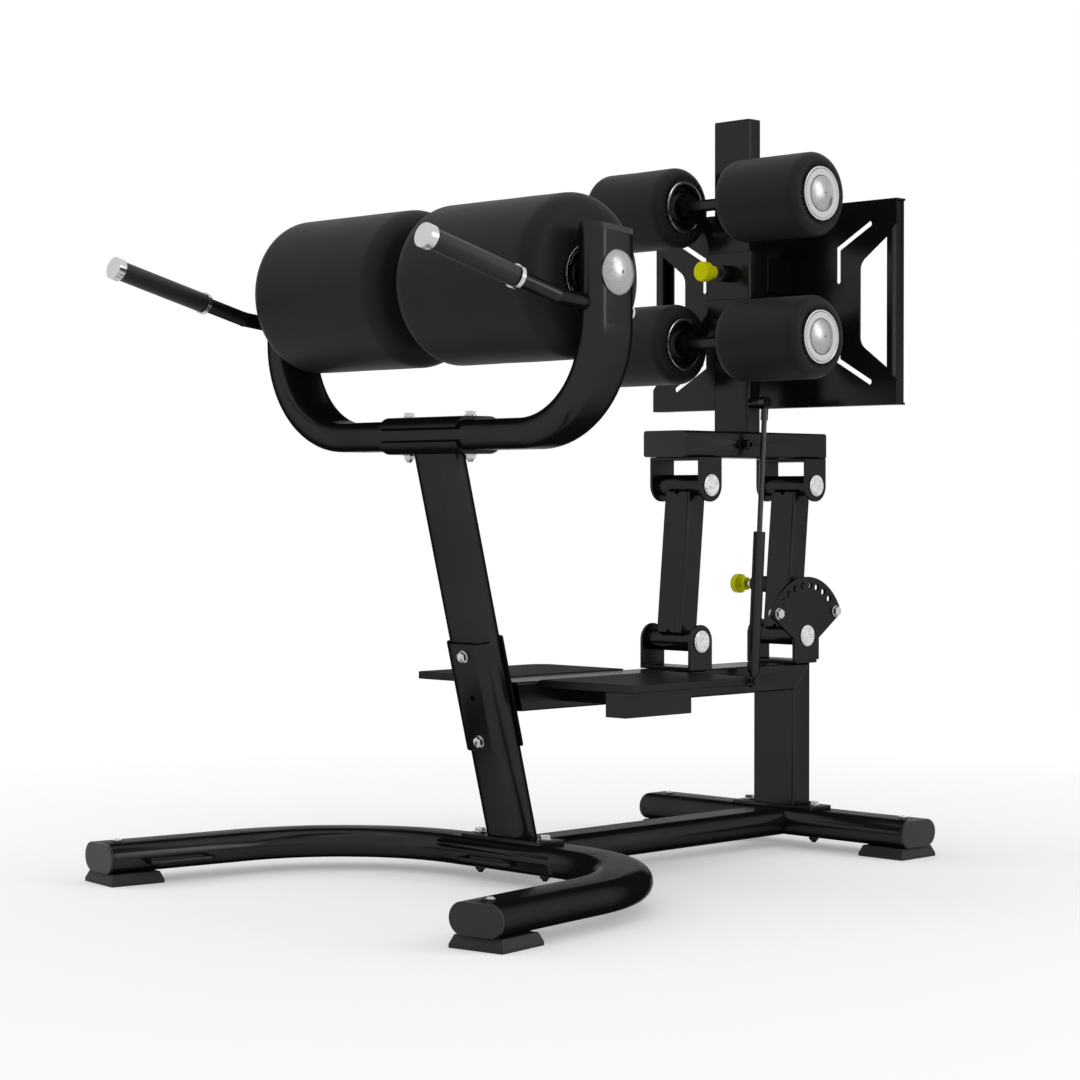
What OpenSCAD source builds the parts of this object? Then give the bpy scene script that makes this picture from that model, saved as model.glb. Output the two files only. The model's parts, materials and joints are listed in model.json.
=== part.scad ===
// Glute ham developer: a U-shaped base with two posts, a pair of thigh rollers on a yoke,
// and an ankle carriage on a parallelogram arm that swings forwards and backwards.
// X is across the machine, -Y is the front where the user's head goes, Z is up from the floor.

/* [Frame tubes] */
// Width of the round-sided tubes
tube_w = 100; // [92:1:108]
// Thickness of the round-sided tubes
tube_t = 50; // [46:1:54]
// Wall of every frame tube
tube_wall = 3; // [2:0.5:4]
// Height of the rubber feet
foot_h = 20; // [16:1:26]

/* [Base] */
// Distance between the front cross tube and the rear cross tube
base_l = 717; // [690:1:750]
// Place of the rear cross tube along the machine
rear_y = 585.6; // [575:0.1:595]
// Half length of the straight middle of the front cross tube
cross_half = 129; // [110:1:140]
// Radius of the front bends, at the middle of the tube
front_bend_r = 298; // [280:1:320]
// Outward splay of the front arms, in degrees
arm_splay = 8.5; // [6:0.5:11]
// Straight length of the front arms
arm_l = 271; // [240:1:290]
// Length of the rear cross tube
rear_cross_l = 636; // [600:1:680]
// Length and width of a rubber foot at the floor
foot_w = 100; // [94:1:106]
// Thickness of the flange of a tube end cap
end_cap_t = 6; // [4:1:9]
// Width of the base plates of the posts
base_plate_w = 198; // [190:1:210]
// Distance between the bolts of a base plate
base_bolt_span = 158; // [146:1:164]
// Size of the frame bolts
bolt_d = 10; // [10:1:12]
// Diameter of the rod of the band hooks
hook_rod_d = 8; // [6:1:10]
// Length of a band hook along the tube
hook_l = 116; // [100:1:130]
// Reach of a band hook from the side of its tube
hook_reach = 24; // [20:1:30]

/* [Posts and mid beam] */
// Height of the middle of the yoke's cross tube
yoke_z = 758.5; // [740:0.5:780]
// Distance that the front post leans forward over its height
post_reach = 169; // [150:1:185]
// Thickness of the plates of the frame
plate_t = 6; // [5:1:8]
// Height of the top of the mid beam
mid_top_z = 344; // [330:1:360]
// Width of the square-sided tubes
box_w = 100; // [94:1:106]
// Thickness of the square-sided tubes
box_t = 50; // [46:1:54]
// Length of the clamp plates on the front post
clamp_l = 190; // [180:1:210]
// Distance between the two clamp bolts
clamp_bolt_span = 150; // [136:1:156]

/* [Step plates] */
// Reach of the step plates from the middle of the machine
step_half_w = 263; // [245:1:280]
// Length of the step plates
step_l = 315; // [300:1:330]
// Thickness of the step plates
step_t = 13; // [11:1:16]
// Width of the support block near the outer edge of the right step plate
step_box_w = 46; // [40:1:56]
// Height of that block
step_box_h = 42; // [38:1:52]
// Length of that block
step_box_l = 163; // [140:1:170]

/* [Yoke and thigh rollers] */
// Distance between the middles of the yoke's arms
yoke_span = 764; // [750:1:780]
// Radius of the yoke's bends, at the middle of the tube
yoke_bend_r = 166; // [150:1:175]
// Height of the thigh axle above the middle of the yoke's cross tube
thigh_rise = 246.5; // [236:0.5:262]
// Length of the yoke's arms above the axle
yoke_arm_top = 64; // [56:1:72]
// Width of the saddle plates that clamp the yoke
saddle_w = 190; // [180:1:210]
// Distance between the two yoke bolts
yoke_bolt_span = 150; // [140:1:156]
// Diameter of a thigh roller
thigh_d = 264; // [250:1:272]
// Length of a thigh roller
thigh_l = 320; // [305:1:324]
// Gap between the two thigh rollers
thigh_gap = 44; // [40:1:60]
// Diameter of the thigh roller axle
thigh_axle_d = 25; // [22:1:28]

/* [Handles] */
// Diameter of the handle tubes
handle_d = 25; // [22:1:28]
// Diameter of the rubber grips
grip_d = 33; // [31:1:36]
// Length of the rubber grips
grip_l = 176; // [150:1:190]
// Distance of the handle root below the axle
handle_drop = 53; // [50:1:60]
// Length of the lower straight part of a handle
handle_root_l = 60; // [50:1:70]
// Length of the upper straight part of a handle, up to the end cap
handle_arm_l = 284; // [270:1:295]
// Rise of the lower part of a handle, in degrees
handle_root_rise = 7; // [5:0.5:9]
// Rise of the upper part of a handle, in degrees
handle_rise = 14.7; // [13:0.1:17]

/* [Parallelogram arm] */
// Distance between the front and the rear pivots
pivot_gap = 300; // [290:1:306]
// Distance between the pivots of a link
link_l = 284; // [276:1:296]
// Lean of the links towards the rear at rest, in degrees
link_lean = 5.3; // [4:0.1:7]
// Diameter of the pivot pins
pin_d = 20; // [18:1:22]
// Outer diameter of the knuckle tubes
knuckle_d = 38; // [36:1:42]
// Length of the knuckle tubes
knuckle_l = 104; // [100:1:106]
// Distance from a pivot to the face that its bracket is fixed to
pivot_rise = 52; // [48:1:58]
// Width of the ears of the pivot brackets
ear_w = 60; // [54:1:64]
// Width of the link tubes
link_w = 60; // [54:1:66]
// Thickness of the link tubes
link_t = 46; // [42:1:50]
// Outer radius of the sector plate
sector_r = 111; // [108:1:114]
// Radius of the circle of pin holes in the sector plate
sector_hole_r = 95; // [93:1:97]
// Angle between two pin holes, in degrees
sector_pitch = 13; // [12:0.5:13]

/* [Swing beam and column] */
// Length of the swing beam
swing_beam_l = 400; // [390:1:420]
// Thickness of the swing beam
swing_beam_t = 48; // [44:1:52]
// Width of the column
column_w = 86; // [80:1:90]
// Thickness of the column
column_t = 35; // [32:1:40]
// Height of the column above the swing beam
column_h = 576; // [560:1:600]
// Distance between two pin holes in the column
column_pitch = 40; // [38:1:42]

/* [Carriage] */
// Height of the middle of the sleeve above the floor at rest
sleeve_z = 1068; // [1060:1:1080]
// Height of the sleeve
sleeve_h = 88; // [80:1:96]
// Wall of the sleeve
sleeve_wall = 8; // [6:1:9]
// Thickness of the slide liners
liner_t = 1.8; // [1.4:0.1:2.4]
// Distance from the column's middle forward to the ankle axles
ankle_reach = 74.5; // [70:0.5:80]
// Distance between the upper and the lower ankle axle
ankle_gap = 254; // [246:1:262]
// Diameter of the ankle axles
ankle_axle_d = 22; // [20:1:24]
// Diameter of an ankle roller
ankle_d = 150; // [140:1:154]
// Length of an ankle roller
ankle_l = 195; // [185:1:205]
// Distance between the inner ends of the ankle rollers
ankle_inner_gap = 130; // [126:1:140]

/* [Foot plate] */
// Width of the foot plate
foot_plate_w = 598; // [580:1:610]
// Height of the foot plate
foot_plate_h = 374; // [366:1:380]
// Height of the middle of the foot plate above the floor at rest
foot_plate_z = 1012; // [1010:1:1020]
// Distance from the column's middle back to the foot plate
foot_plate_reach = 93.5; // [88:0.5:98]
// Thickness of the foot plate
foot_plate_t = 4; // [3:0.5:5]
// Depth of the foot plate's bent side edges
flange_d = 30; // [28:1:34]

/* [Strut] */
// Distance of the strut from the middle of the machine
strut_x = 77; // [76:1:80]
// Diameter of the strut's cylinder
strut_d = 22; // [20:1:24]
// Length of the strut from its lower eye to the cylinder's top
strut_cylinder_l = 275; // [262:1:284]
// Length of the strut's rod below the upper eye
strut_rod_l = 400; // [385:1:410]
// Diameter of the strut's rod
strut_rod_d = 10; // [8:1:10]

/* [Hidden] */
$fn = 64;

// Clearances
fit_gap = 0.2;
running_gap = 0.08;
seat_gap = 0.3;
slide_gap = 0.15;
over = 1;
far = 2000;

// Finishes
frame_black = "#26272a";
soft_black = "#2e2e31";
plastic_black = "#1c1c1e";
chrome_grey = "#d8d9dc";
steel_grey = "#9a9ca0";
knob_yellow = "#d9de1f";

// Heights of the base
base_z = foot_h + tube_t / 2;
base_top = foot_h + tube_t;
plate_top = base_top + plate_t;
front_y = rear_y - base_l;

// Front arms: where the bend ends and the arm starts
bend_x = cross_half;
bend_y = front_y - front_bend_r;
arm_x = bend_x + front_bend_r * cos(arm_splay);
arm_y = bend_y + front_bend_r * sin(arm_splay);
foot_inset = foot_w / 2 - end_cap_t;
foot_screw_inset = 30;
foot_screw_d = 8;

// Front post: from its base plate up to the lower saddle
yoke_y = front_y - post_reach;
saddle_bottom = yoke_z - tube_t / 2 - plate_t;
post_lean = atan(post_reach / (saddle_bottom - plate_top));
clamp_z = mid_top_z - box_t / 2 + 6;
clamp_y = front_y - (clamp_z - plate_top) * tan(post_lean);
clamp_wrap = 13;

// Bolts
bolt_head_w = bolt_d * 1.6;
bolt_head_h = bolt_d * 0.65;
washer_d = bolt_d * 2.1;
washer_t = 2;
nut_h = bolt_d * 0.8;

// Mid beam and step plates
mid_z = mid_top_z - box_t / 2;
box_r = 5;
step_top = mid_top_z + 2;
step_front = front_y + 16;
step_corner_r = 34;
step_bar_w = 60;
step_box_inset = 14;
step_box_front = 2;

// Yoke and thigh rollers
arm_mid_x = yoke_span / 2;
arm_outer_x = arm_mid_x + tube_t / 2;
thigh_z = yoke_z + thigh_rise;
yoke_top = thigh_z + yoke_arm_top;
yoke_cap_t = 9;
yoke_cap_slant = 5;
dome_d = 68;
dome_h = 10;
ring_d = 96;
thigh_core_d = 60;
thigh_edge_r = 30;

// Handles
handle_z = thigh_z - handle_drop;
collar_l = 8;
collar_d = grip_d + 5;
tip_l = 14;
tip_d = grip_d + 5;
button_d = 24;
button_h = 5;

// Pivots
lower_z = mid_top_z + pivot_rise;
rear_pivot_y = rear_y;
front_pivot_y = rear_y - pivot_gap;
lean_y = link_l * sin(link_lean);
lean_z = link_l * cos(link_lean);
upper_z = lower_z + lean_z;
ear_t = 6;
bush_flange_t = 3;
ear_in = knuckle_l / 2 + bush_flange_t + 0.5;
ear_out = ear_in + ear_t;
pin_head_d = 40;
pin_head_h = 4;
bush_t = 3;
bush_d = pin_d + 2 * bush_t;
opened_gap = 0.35;
sector_holes = 8;
sector_hole_d = 12.6;
stop_angle = 62.6;
sector_half_angle = 65;

// Swing beam and column
swing_y = (front_pivot_y + rear_pivot_y) / 2 + lean_y - 7;
swing_bottom = upper_z + pivot_rise - 1;
swing_top = swing_bottom + swing_beam_t;
column_y = swing_y;
column_top = swing_top + column_h;
column_holes = 6;
pull_travel = 11;

// Carriage
sleeve_in = slide_gap + liner_t;
sleeve_half_x = column_w / 2 + sleeve_in + sleeve_wall;
sleeve_front = column_y - column_t / 2 - sleeve_in - sleeve_wall;
sleeve_rear = column_y + column_t / 2 + sleeve_in + sleeve_wall;
sleeve_bottom = sleeve_z - sleeve_h / 2;
ankle_y = column_y - ankle_reach;
ankle_z = [sleeve_z + 1 - ankle_gap / 2, sleeve_z + 1 + ankle_gap / 2];
gusset_t = 6;
gusset_boss_r = 21;
gusset_web_h = 55;
ankle_core_d = 46;
ankle_dome_d = 62;
ankle_dome_h = 8;
ankle_face_r = ankle_dome_d / 2 + 0.6;
ankle_edge_r = 20;
ankle_inner_x = ankle_inner_gap / 2;
ankle_outer_x = ankle_inner_x + ankle_l;
plate_y = column_y + foot_plate_reach;
arm_plate_h = 64;

// Carriage and link pull pins
pull_pin_d = 12;
pull_housing_d = 25;
carriage_pin_z = sleeve_z + 4;
carriage_housing_l = 24;
link_housing_l = 46;
link_knob_d = 37;
carriage_knob_d = 37;

// Strut: the eyes lie on studs on the mid beam and on the column
strut_low_y = rear_y - 174;
strut_low_z = mid_z;
strut_high_y = column_y - 11;
strut_high_z = swing_top + 53;
strut_lean = atan((strut_high_y - strut_low_y) / (strut_high_z - strut_low_z));
eye_d = 24;
eye_t = 12;
stud_d = 10;
gland_l = 12;
gland_gap = 1.3;

// Flat shapes

module oval(w, t) {
    square([w - t, t], center = true);
    for (s = [-1, 1]) translate([s * (w - t) / 2, 0]) circle(d = t);
}

module oval_ring(w, t, wall) {
    difference() {
        oval(w, t);
        oval(w - 2 * wall, t - 2 * wall);
    }
}

module soft_rect(w, h, r) {
    square([w - 2 * r, h], center = true);
    square([w, h - 2 * r], center = true);
    for (x = [-1, 1], y = [-1, 1]) translate([x * (w / 2 - r), y * (h / 2 - r)]) circle(r = r);
}

module box_ring(w, t, wall) {
    difference() {
        soft_rect(w, t, box_r);
        soft_rect(w - 2 * wall, t - 2 * wall, box_r - min(wall, box_r - 0.5));
    }
}

// A slot cut along a line of points, its ends and corners drilled a little wider
module slot(points, d) {
    for (p = points) translate(p) circle(d = d + 0.8);
    for (i = [1 : len(points) - 1]) {
        run = points[i] - points[i - 1];
        translate(points[i - 1]) rotate(atan2(run[1], run[0])) translate([0, -d / 2]) square([norm(run), d]);
    }
}

// Half of a saddle that wraps one flat side of a round-sided tube
module saddle_shape() {
    difference() {
        oval(tube_w + 2 * plate_t, tube_t + 2 * plate_t);
        oval(tube_w, tube_t);
        translate([-far / 2, -far + tube_t / 2 - clamp_wrap]) square(far);
    }
}

// Directions: along_x and along_y stand a shape's height along that axis
module along_x() { rotate([90, 0, 90]) children(); }
module along_y() { rotate([-90, 0, 0]) children(); }
module both_sides() { children(); mirror([1, 0, 0]) children(); }

module rod_x(d, x0, x1) { translate([x0, 0, 0]) along_x() cylinder(d = d, h = x1 - x0); }

// Frame of the right front arm: origin at the start of the arm, -Y along it
module on_arm() { translate([arm_x, arm_y, 0]) rotate([0, 0, arm_splay]) children(); }

// Frame of the front post: origin in the clamp's middle, Z along the post
module on_post() { translate([0, clamp_y, clamp_z]) rotate([post_lean, 0, 0]) children(); }

// Frame of a link: origin at its lower pivot, Z towards its upper pivot
module on_link(y) { translate([0, y, lower_z]) rotate([-link_lean, 0, 0]) children(); }

module on_strut() {
    translate([strut_x, strut_low_y, strut_low_z]) rotate([-strut_lean, 0, 0]) children();
}

// Fasteners, each with its seat at z = 0 and its shank downwards

module hex(w, h) { cylinder(d = w / cos(30), h = h, $fn = 6); }

module bolt(l) {
    cylinder(d = washer_d, h = washer_t);
    translate([0, 0, washer_t]) hex(bolt_head_w, bolt_head_h);
    translate([0, 0, -l]) cylinder(d = bolt_d, h = l + over);
}

// Washer and nut under a bolt, hanging from z = 0; the bolt's end stands a little proud
module nut() {
    translate([0, 0, -washer_t - nut_h]) difference() {
        union() {
            translate([0, 0, nut_h]) cylinder(d = washer_d, h = washer_t);
            hex(bolt_head_w, nut_h);
        }
        translate([0, 0, -over]) cylinder(d = bolt_d + 2 * fit_gap, h = far);
    }
}

module bolt_hole(l) { translate([0, 0, -l]) cylinder(d = bolt_d + 2 * fit_gap, h = l + over); }

module bolt_and_nut(grip) {
    bolt(grip + washer_t + nut_h + 3);
    translate([0, 0, -grip]) nut();
}

// Places of the fasteners

module at_base_bolts() {
    for (y = [front_y, rear_y], x = [-1, 1]) translate([x * base_bolt_span / 2, y, plate_top]) children();
}

module at_clamp_bolts() {
    on_post() for (z = [-1, 1]) translate([0, -tube_t / 2 - plate_t, z * clamp_bolt_span / 2])
        rotate([90, 0, 0]) children();
}

module at_yoke_bolts() {
    for (x = [-1, 1]) translate([x * yoke_bolt_span / 2, yoke_y, yoke_z + tube_t / 2 + plate_t]) children();
}

// Feet of the right side: front first, then rear. Y of the child points out of the tube's end.
module at_right_feet() {
    on_arm() translate([0, -arm_l, 0]) rotate([0, 0, 180]) children();
    translate([rear_cross_l / 2, rear_y, 0]) rotate([0, 0, -90]) children();
}

module at_feet() {
    at_right_feet() children();
    mirror([1, 0, 0]) at_right_feet() children();
}

module foot_screw_hole() {
    translate([0, -foot_screw_inset, foot_h / 2]) cylinder(d = foot_screw_d + 2 * fit_gap, h = base_top);
}

// Base frame

module cross_solid(w, t) {
    translate([-cross_half, front_y, base_z]) along_x() linear_extrude(2 * cross_half) oval(w, t);
}

module right_arm_solid(w, t, extra) {
    translate([bend_x, bend_y, base_z]) rotate([0, 0, arm_splay])
        rotate_extrude(angle = 90 - arm_splay, $fn = 180) translate([front_bend_r, 0]) oval(w, t);
    on_arm() translate([0, 0, base_z]) rotate([90, 0, 0]) linear_extrude(arm_l + extra) oval(w, t);
}

module u_solid(w, t, extra) {
    cross_solid(w, t);
    both_sides() right_arm_solid(w, t, extra);
}

module front_u_tube() {
    color(frame_black) difference() {
        u_solid(tube_w, tube_t, 0);
        u_solid(tube_w - 2 * tube_wall, tube_t - 2 * tube_wall, over);
        at_feet() foot_screw_hole();
        at_base_bolts() bolt_hole(tube_t + 3 * plate_t);
    }
}

module crossbar_solid(w, t, l) {
    translate([-l / 2, rear_y, base_z]) along_x() linear_extrude(l) oval(w, t);
}

module rear_crossbar() {
    color(frame_black) difference() {
        crossbar_solid(tube_w, tube_t, rear_cross_l);
        crossbar_solid(tube_w - 2 * tube_wall, tube_t - 2 * tube_wall, rear_cross_l + 2 * over);
        at_feet() foot_screw_hole();
        at_base_bolts() bolt_hole(tube_t + 3 * plate_t);
    }
}

module base_beam() {
    color(frame_black) difference() {
        translate([0, front_y, base_z]) along_y() linear_extrude(base_l) oval_ring(tube_w, tube_t, tube_wall);
        cross_solid(tube_w, tube_t);
        crossbar_solid(tube_w, tube_t, rear_cross_l);
    }
}

// Cap with its plug inside the tube; Y points out of the tube
module end_cap() {
    plug = 18;
    gap = tube_wall + fit_gap;
    translate([0, end_cap_t, base_z]) rotate([90, 0, 0]) linear_extrude(end_cap_t) oval(tube_w, tube_t);
    translate([0, over, base_z]) rotate([90, 0, 0]) linear_extrude(plug + over)
        oval(tube_w - 2 * gap, tube_t - 2 * gap);
}

module tube_end_caps() {
    color(plastic_black) at_feet() end_cap();
}

// Side view of a foot: a lip at the floor, then a slope to the tube
module foot_side(w) {
    lip = 6;
    slope = 6;
    polygon([[-w / 2, 0], [w / 2, 0], [w / 2, lip], [w / 2 - slope, foot_h],
        [slope - w / 2, foot_h], [-w / 2, lip]]);
}

module rubber_foot() {
    translate([0, -foot_inset, 0]) intersection() {
        translate([0, foot_w / 2, 0]) rotate([90, 0, 0]) linear_extrude(foot_w) foot_side(foot_w);
        translate([-foot_w / 2, 0, 0]) along_x() linear_extrude(foot_w) foot_side(foot_w);
    }
}

module rubber_feet() {
    color(plastic_black) at_feet() difference() {
        rubber_foot();
        foot_screw_hole();
    }
}

// A band hook: a rod bent to a flat U whose ends stand on the tube's side, X along the tube
module band_hook() {
    r = hook_rod_d;
    reach = hook_reach - r;
    half = hook_l / 2 - r;
    translate([-half, -hook_reach, 0]) along_x() cylinder(d = hook_rod_d, h = 2 * half);
    for (s = [-1, 1]) translate([s * half, -reach, 0]) {
        rotate([0, 0, s > 0 ? -90 : 180]) rotate_extrude(angle = 90) translate([r, 0]) circle(d = hook_rod_d);
        translate([s * r, 0, 0]) along_y() cylinder(d = hook_rod_d, h = reach + tube_t / 2);
    }
}

module band_hooks() {
    hook_z = base_z - 6;
    color(frame_black) difference() {
        union() {
            translate([0, front_y - tube_w / 2, hook_z]) band_hook();
            both_sides() on_arm() translate([-tube_w / 2, -arm_l * 0.56, hook_z]) rotate([0, 0, -90]) band_hook();
        }
        u_solid(tube_w, tube_t, 0);
    }
}

// Posts

module between(z0, z1) {
    intersection() {
        children();
        translate([-far / 2, -far / 2, z0]) cube([far, far, z1 - z0]);
    }
}

module front_post() {
    color(frame_black) difference() {
        between(plate_top, saddle_bottom)
            on_post() linear_extrude(far, center = true) oval_ring(tube_w, tube_t, tube_wall);
        at_clamp_bolts() bolt_hole(tube_t + 3 * plate_t);
        on_post() rotate([90, 0, 0]) cylinder(d = bolt_d, h = tube_t);
    }
}

// The mid beam and the rear post meet in a mitre: everything above the slope is the beam's
module above_mitre() {
    translate([0, rear_y - box_t / 2, mid_top_z - box_t]) rotate([45, 0, 0])
        translate([-far / 2, -far / 2, 0]) cube(far);
}

module rear_post() {
    color(frame_black) difference() {
        translate([0, rear_y, plate_top]) linear_extrude(mid_top_z - plate_top) box_ring(box_w, box_t, tube_wall);
        above_mitre();
    }
}

module strut_stud(root) {
    rod_x(eye_d - 6, root, strut_x - eye_t / 2 - 0.5);
    rod_x(stud_d, strut_x - eye_t / 2 - over, strut_x + eye_t / 2 + 3);
    rod_x(stud_d + 6, strut_x + eye_t / 2 + 0.5, strut_x + eye_t / 2 + 2.5);
}

module mid_beam() {
    start = clamp_y - 2 * box_w;
    color(frame_black) {
        difference() {
            translate([0, start, mid_z]) along_y() linear_extrude(rear_y + box_t / 2 - start)
                box_ring(box_w, box_t, tube_wall);
            on_post() translate([-far / 2, -far + tube_t / 2 + plate_t, -far / 2]) cube(far);
            difference() {
                translate([-box_w, rear_y - box_t, mid_top_z - 2 * box_t]) cube([2 * box_w, 3 * box_t, 4 * box_t]);
                above_mitre();
            }
        }
        translate([0, strut_low_y, strut_low_z]) strut_stud(box_w / 2);
    }
}

module post_base_plates() {
    depth = tube_t + 2 * plate_t;
    color(frame_black) for (y = [front_y, rear_y]) difference() {
        translate([0, y, base_top]) linear_extrude(plate_t) soft_rect(base_plate_w, depth, 8);
        at_base_bolts() bolt_hole(plate_t + over);
    }
}

module clamp_plates() {
    color(frame_black) on_post() difference() {
        for (turn = [0, 180]) rotate([0, 0, turn]) translate([0, 0, -clamp_l / 2])
            linear_extrude(clamp_l) saddle_shape();
        for (z = [-1, 0, 1]) translate([0, far / 2, z * clamp_bolt_span / 2])
            rotate([90, 0, 0]) cylinder(d = bolt_d + 2 * fit_gap, h = far);
    }
}

module yoke_saddles() {
    color(frame_black) translate([0, yoke_y, yoke_z]) difference() {
        for (turn = [0, 180]) rotate([turn, 0, 0]) translate([-saddle_w / 2, 0, 0]) along_x()
            linear_extrude(saddle_w) saddle_shape();
        for (x = [-1, 1]) translate([x * yoke_bolt_span / 2, 0, -far / 2])
            cylinder(d = bolt_d + 2 * fit_gap, h = far);
    }
}

module foot_screw() {
    head = 15;
    translate([0, -foot_screw_inset, base_top]) {
        cylinder(d = head, h = 3);
        translate([0, 0, 2]) cylinder(d = head - 5, h = 3);
        translate([0, 0, -tube_t - foot_h / 2 + 2]) cylinder(d = foot_screw_d, h = tube_t + foot_h / 2 - 2 + over);
    }
}

module frame_bolts() {
    color(chrome_grey) {
        at_base_bolts() bolt_and_nut(tube_t + plate_t);
        at_clamp_bolts() bolt_and_nut(tube_t + 2 * plate_t);
        at_yoke_bolts() bolt_and_nut(tube_t + 2 * plate_t);
        at_feet() foot_screw();
    }
}

// Step plates

module right_step_shape() {
    w = step_half_w - box_w / 2;
    r = 12;
    difference() {
        square([w, step_l]);
        translate([w - r, -over]) square([r + over, r + over]);
        translate([w - step_corner_r, step_l - step_corner_r]) square(step_corner_r + over);
    }
    translate([w - r, r]) circle(r = r);
    translate([w - step_corner_r, step_l - step_corner_r]) circle(r = step_corner_r);
}

module step_plates() {
    color(soft_black) both_sides() translate([box_w / 2, step_front, step_top - step_t])
        linear_extrude(step_t) right_step_shape();
}

// A block near the outer edge of the right plate, on a bar that crosses below both plates
module step_supports() {
    bar_h = 26;
    left_end = -115;
    box_x = step_half_w - step_box_inset - step_box_w;
    under = step_top - step_t;
    box_y = step_front + step_box_front;
    bar_y = box_y + step_box_l / 2 - step_bar_w / 2;
    color(frame_black) {
        translate([box_x, box_y, under - step_box_h]) cube([step_box_w, step_box_l, step_box_h]);
        translate([box_w / 2, bar_y, under - bar_h]) cube([box_x - box_w / 2 + over, step_bar_w, bar_h]);
        translate([left_end, bar_y, under - bar_h]) cube([-box_w / 2 - left_end, step_bar_w, bar_h]);
    }
}

// Yoke

module yoke_solid(w, t, extra) {
    straight = arm_mid_x - yoke_bend_r;
    translate([-straight, yoke_y, yoke_z]) along_x() linear_extrude(2 * straight) oval(w, t);
    both_sides() {
        translate([straight, yoke_y, yoke_z + yoke_bend_r]) rotate([90, 0, 0]) rotate([0, 0, -90])
            rotate_extrude(angle = 90, $fn = 120) translate([yoke_bend_r, 0]) rotate(90) oval(w, t);
        translate([arm_mid_x, yoke_y, yoke_z + yoke_bend_r])
            linear_extrude(yoke_top - yoke_z - yoke_bend_r + extra) rotate(90) oval(w, t);
    }
}

// Keeps the part of the children from low to high above the slanted cut at the top of the yoke's arms
module by_yoke_cut(low, high) {
    intersection() {
        children();
        translate([0, yoke_y, yoke_top]) rotate([-yoke_cap_slant, 0, 0])
            translate([-far / 2, -far / 2, low]) cube([far, far, high - low]);
    }
}

module handle_path() {
    translate([arm_mid_x, yoke_y, handle_z]) rotate([-handle_root_rise, 0, 0]) children();
}

module yoke() {
    color(frame_black) by_yoke_cut(-far / 2, 0) difference() {
        yoke_solid(tube_w, tube_t, tube_t);
        yoke_solid(tube_w - 2 * tube_wall, tube_t - 2 * tube_wall, tube_w);
        translate([0, yoke_y, thigh_z]) rod_x(thigh_axle_d + 2 * fit_gap, -far / 2, far / 2);
        at_yoke_bolts() bolt_hole(tube_t + 3 * plate_t);
        both_sides() handle_path() rotate([90, 0, 0])
            cylinder(d = handle_d + 2 * fit_gap, h = far, center = true);
    }
}

module yoke_end_caps() {
    gap = tube_wall + fit_gap;
    plug_l = 20;
    color(plastic_black) both_sides() {
        by_yoke_cut(0, yoke_cap_t) translate([arm_mid_x, yoke_y, yoke_top - tube_t])
            linear_extrude(2 * tube_t) rotate(90) oval(tube_w, tube_t);
        by_yoke_cut(-tube_t, over) translate([arm_mid_x, yoke_y, yoke_top - plug_l])
            linear_extrude(2 * plug_l) rotate(90) oval(tube_w - 2 * gap, tube_t - 2 * gap);
    }
}

// A shallow dome, its flat face at x = 0 and its crown at x = h
module dome(d, h) {
    ball_r = (d * d / 4 + h * h) / (2 * h);
    rotate([0, 90, 0]) rotate_extrude() intersection() {
        translate([0, h - ball_r]) circle(r = ball_r, $fn = 200);
        square([d / 2, h]);
    }
}

module thigh_axle() {
    flange_t = 2.5;
    color(chrome_grey) translate([0, yoke_y, thigh_z]) {
        rod_x(thigh_axle_d, -arm_outer_x, arm_outer_x);
        both_sides() {
            rod_x(dome_d + 2, arm_outer_x, arm_outer_x + flange_t);
            translate([arm_outer_x + flange_t - 0.5, 0, 0]) dome(dome_d, dome_h);
        }
    }
}

// Handles: the child's Z runs forward along the handle's upper part, from the bend
module on_handle() {
    handle_path() translate([0, -tube_w / 2 - handle_root_l, 0])
        rotate([handle_root_rise - handle_rise, 0, 0]) rotate([90, 0, 0]) children();
}

module right_handle() {
    handle_path() rotate([90, 0, 0]) translate([0, 0, -tube_w / 2])
        cylinder(d = handle_d, h = tube_w + handle_root_l);
    on_handle() {
        sphere(d = handle_d + 1);
        cylinder(d = handle_d, h = handle_arm_l - tip_l);
    }
}

module handles() {
    color(frame_black) both_sides() right_handle();
}

grip_start = handle_arm_l - tip_l - grip_l;

module handle_grips() {
    color(soft_black) both_sides() on_handle() translate([0, 0, grip_start]) difference() {
        cylinder(d = grip_d, h = grip_l - fit_gap);
        translate([0, 0, -over]) cylinder(d = handle_d + 2 * fit_gap, h = grip_l + 2 * over);
    }
}

// Clamping collar with an end face; a slit and a small screw below
module tip_collar() {
    slit = 2;
    difference() {
        cylinder(d = tip_d, h = tip_l);
        translate([-slit / 2, -tip_d, -over]) cube([slit, tip_d - handle_d / 2, tip_l - 2]);
        translate([-tip_d, -tip_d / 2 + 3.5, tip_l / 2]) rod_x(4, 0, tip_d / 2);
    }
}

module handle_trim() {
    color(chrome_grey) both_sides() {
        on_handle() {
            translate([0, 0, grip_start - collar_l - fit_gap]) difference() {
                cylinder(d = collar_d, h = collar_l);
                translate([0, 0, -over]) cylinder(d = handle_d + 2 * fit_gap, h = collar_l + 2 * over);
            }
            translate([0, 0, handle_arm_l - tip_l]) tip_collar();
        }
        handle_path() rotate([-90, 0, 0]) translate([0, 0, tube_w / 2]) cylinder(d = button_d, h = button_h);
    }
}

// Rollers turn on their axles. X runs along the roller from its inner end.

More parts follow.
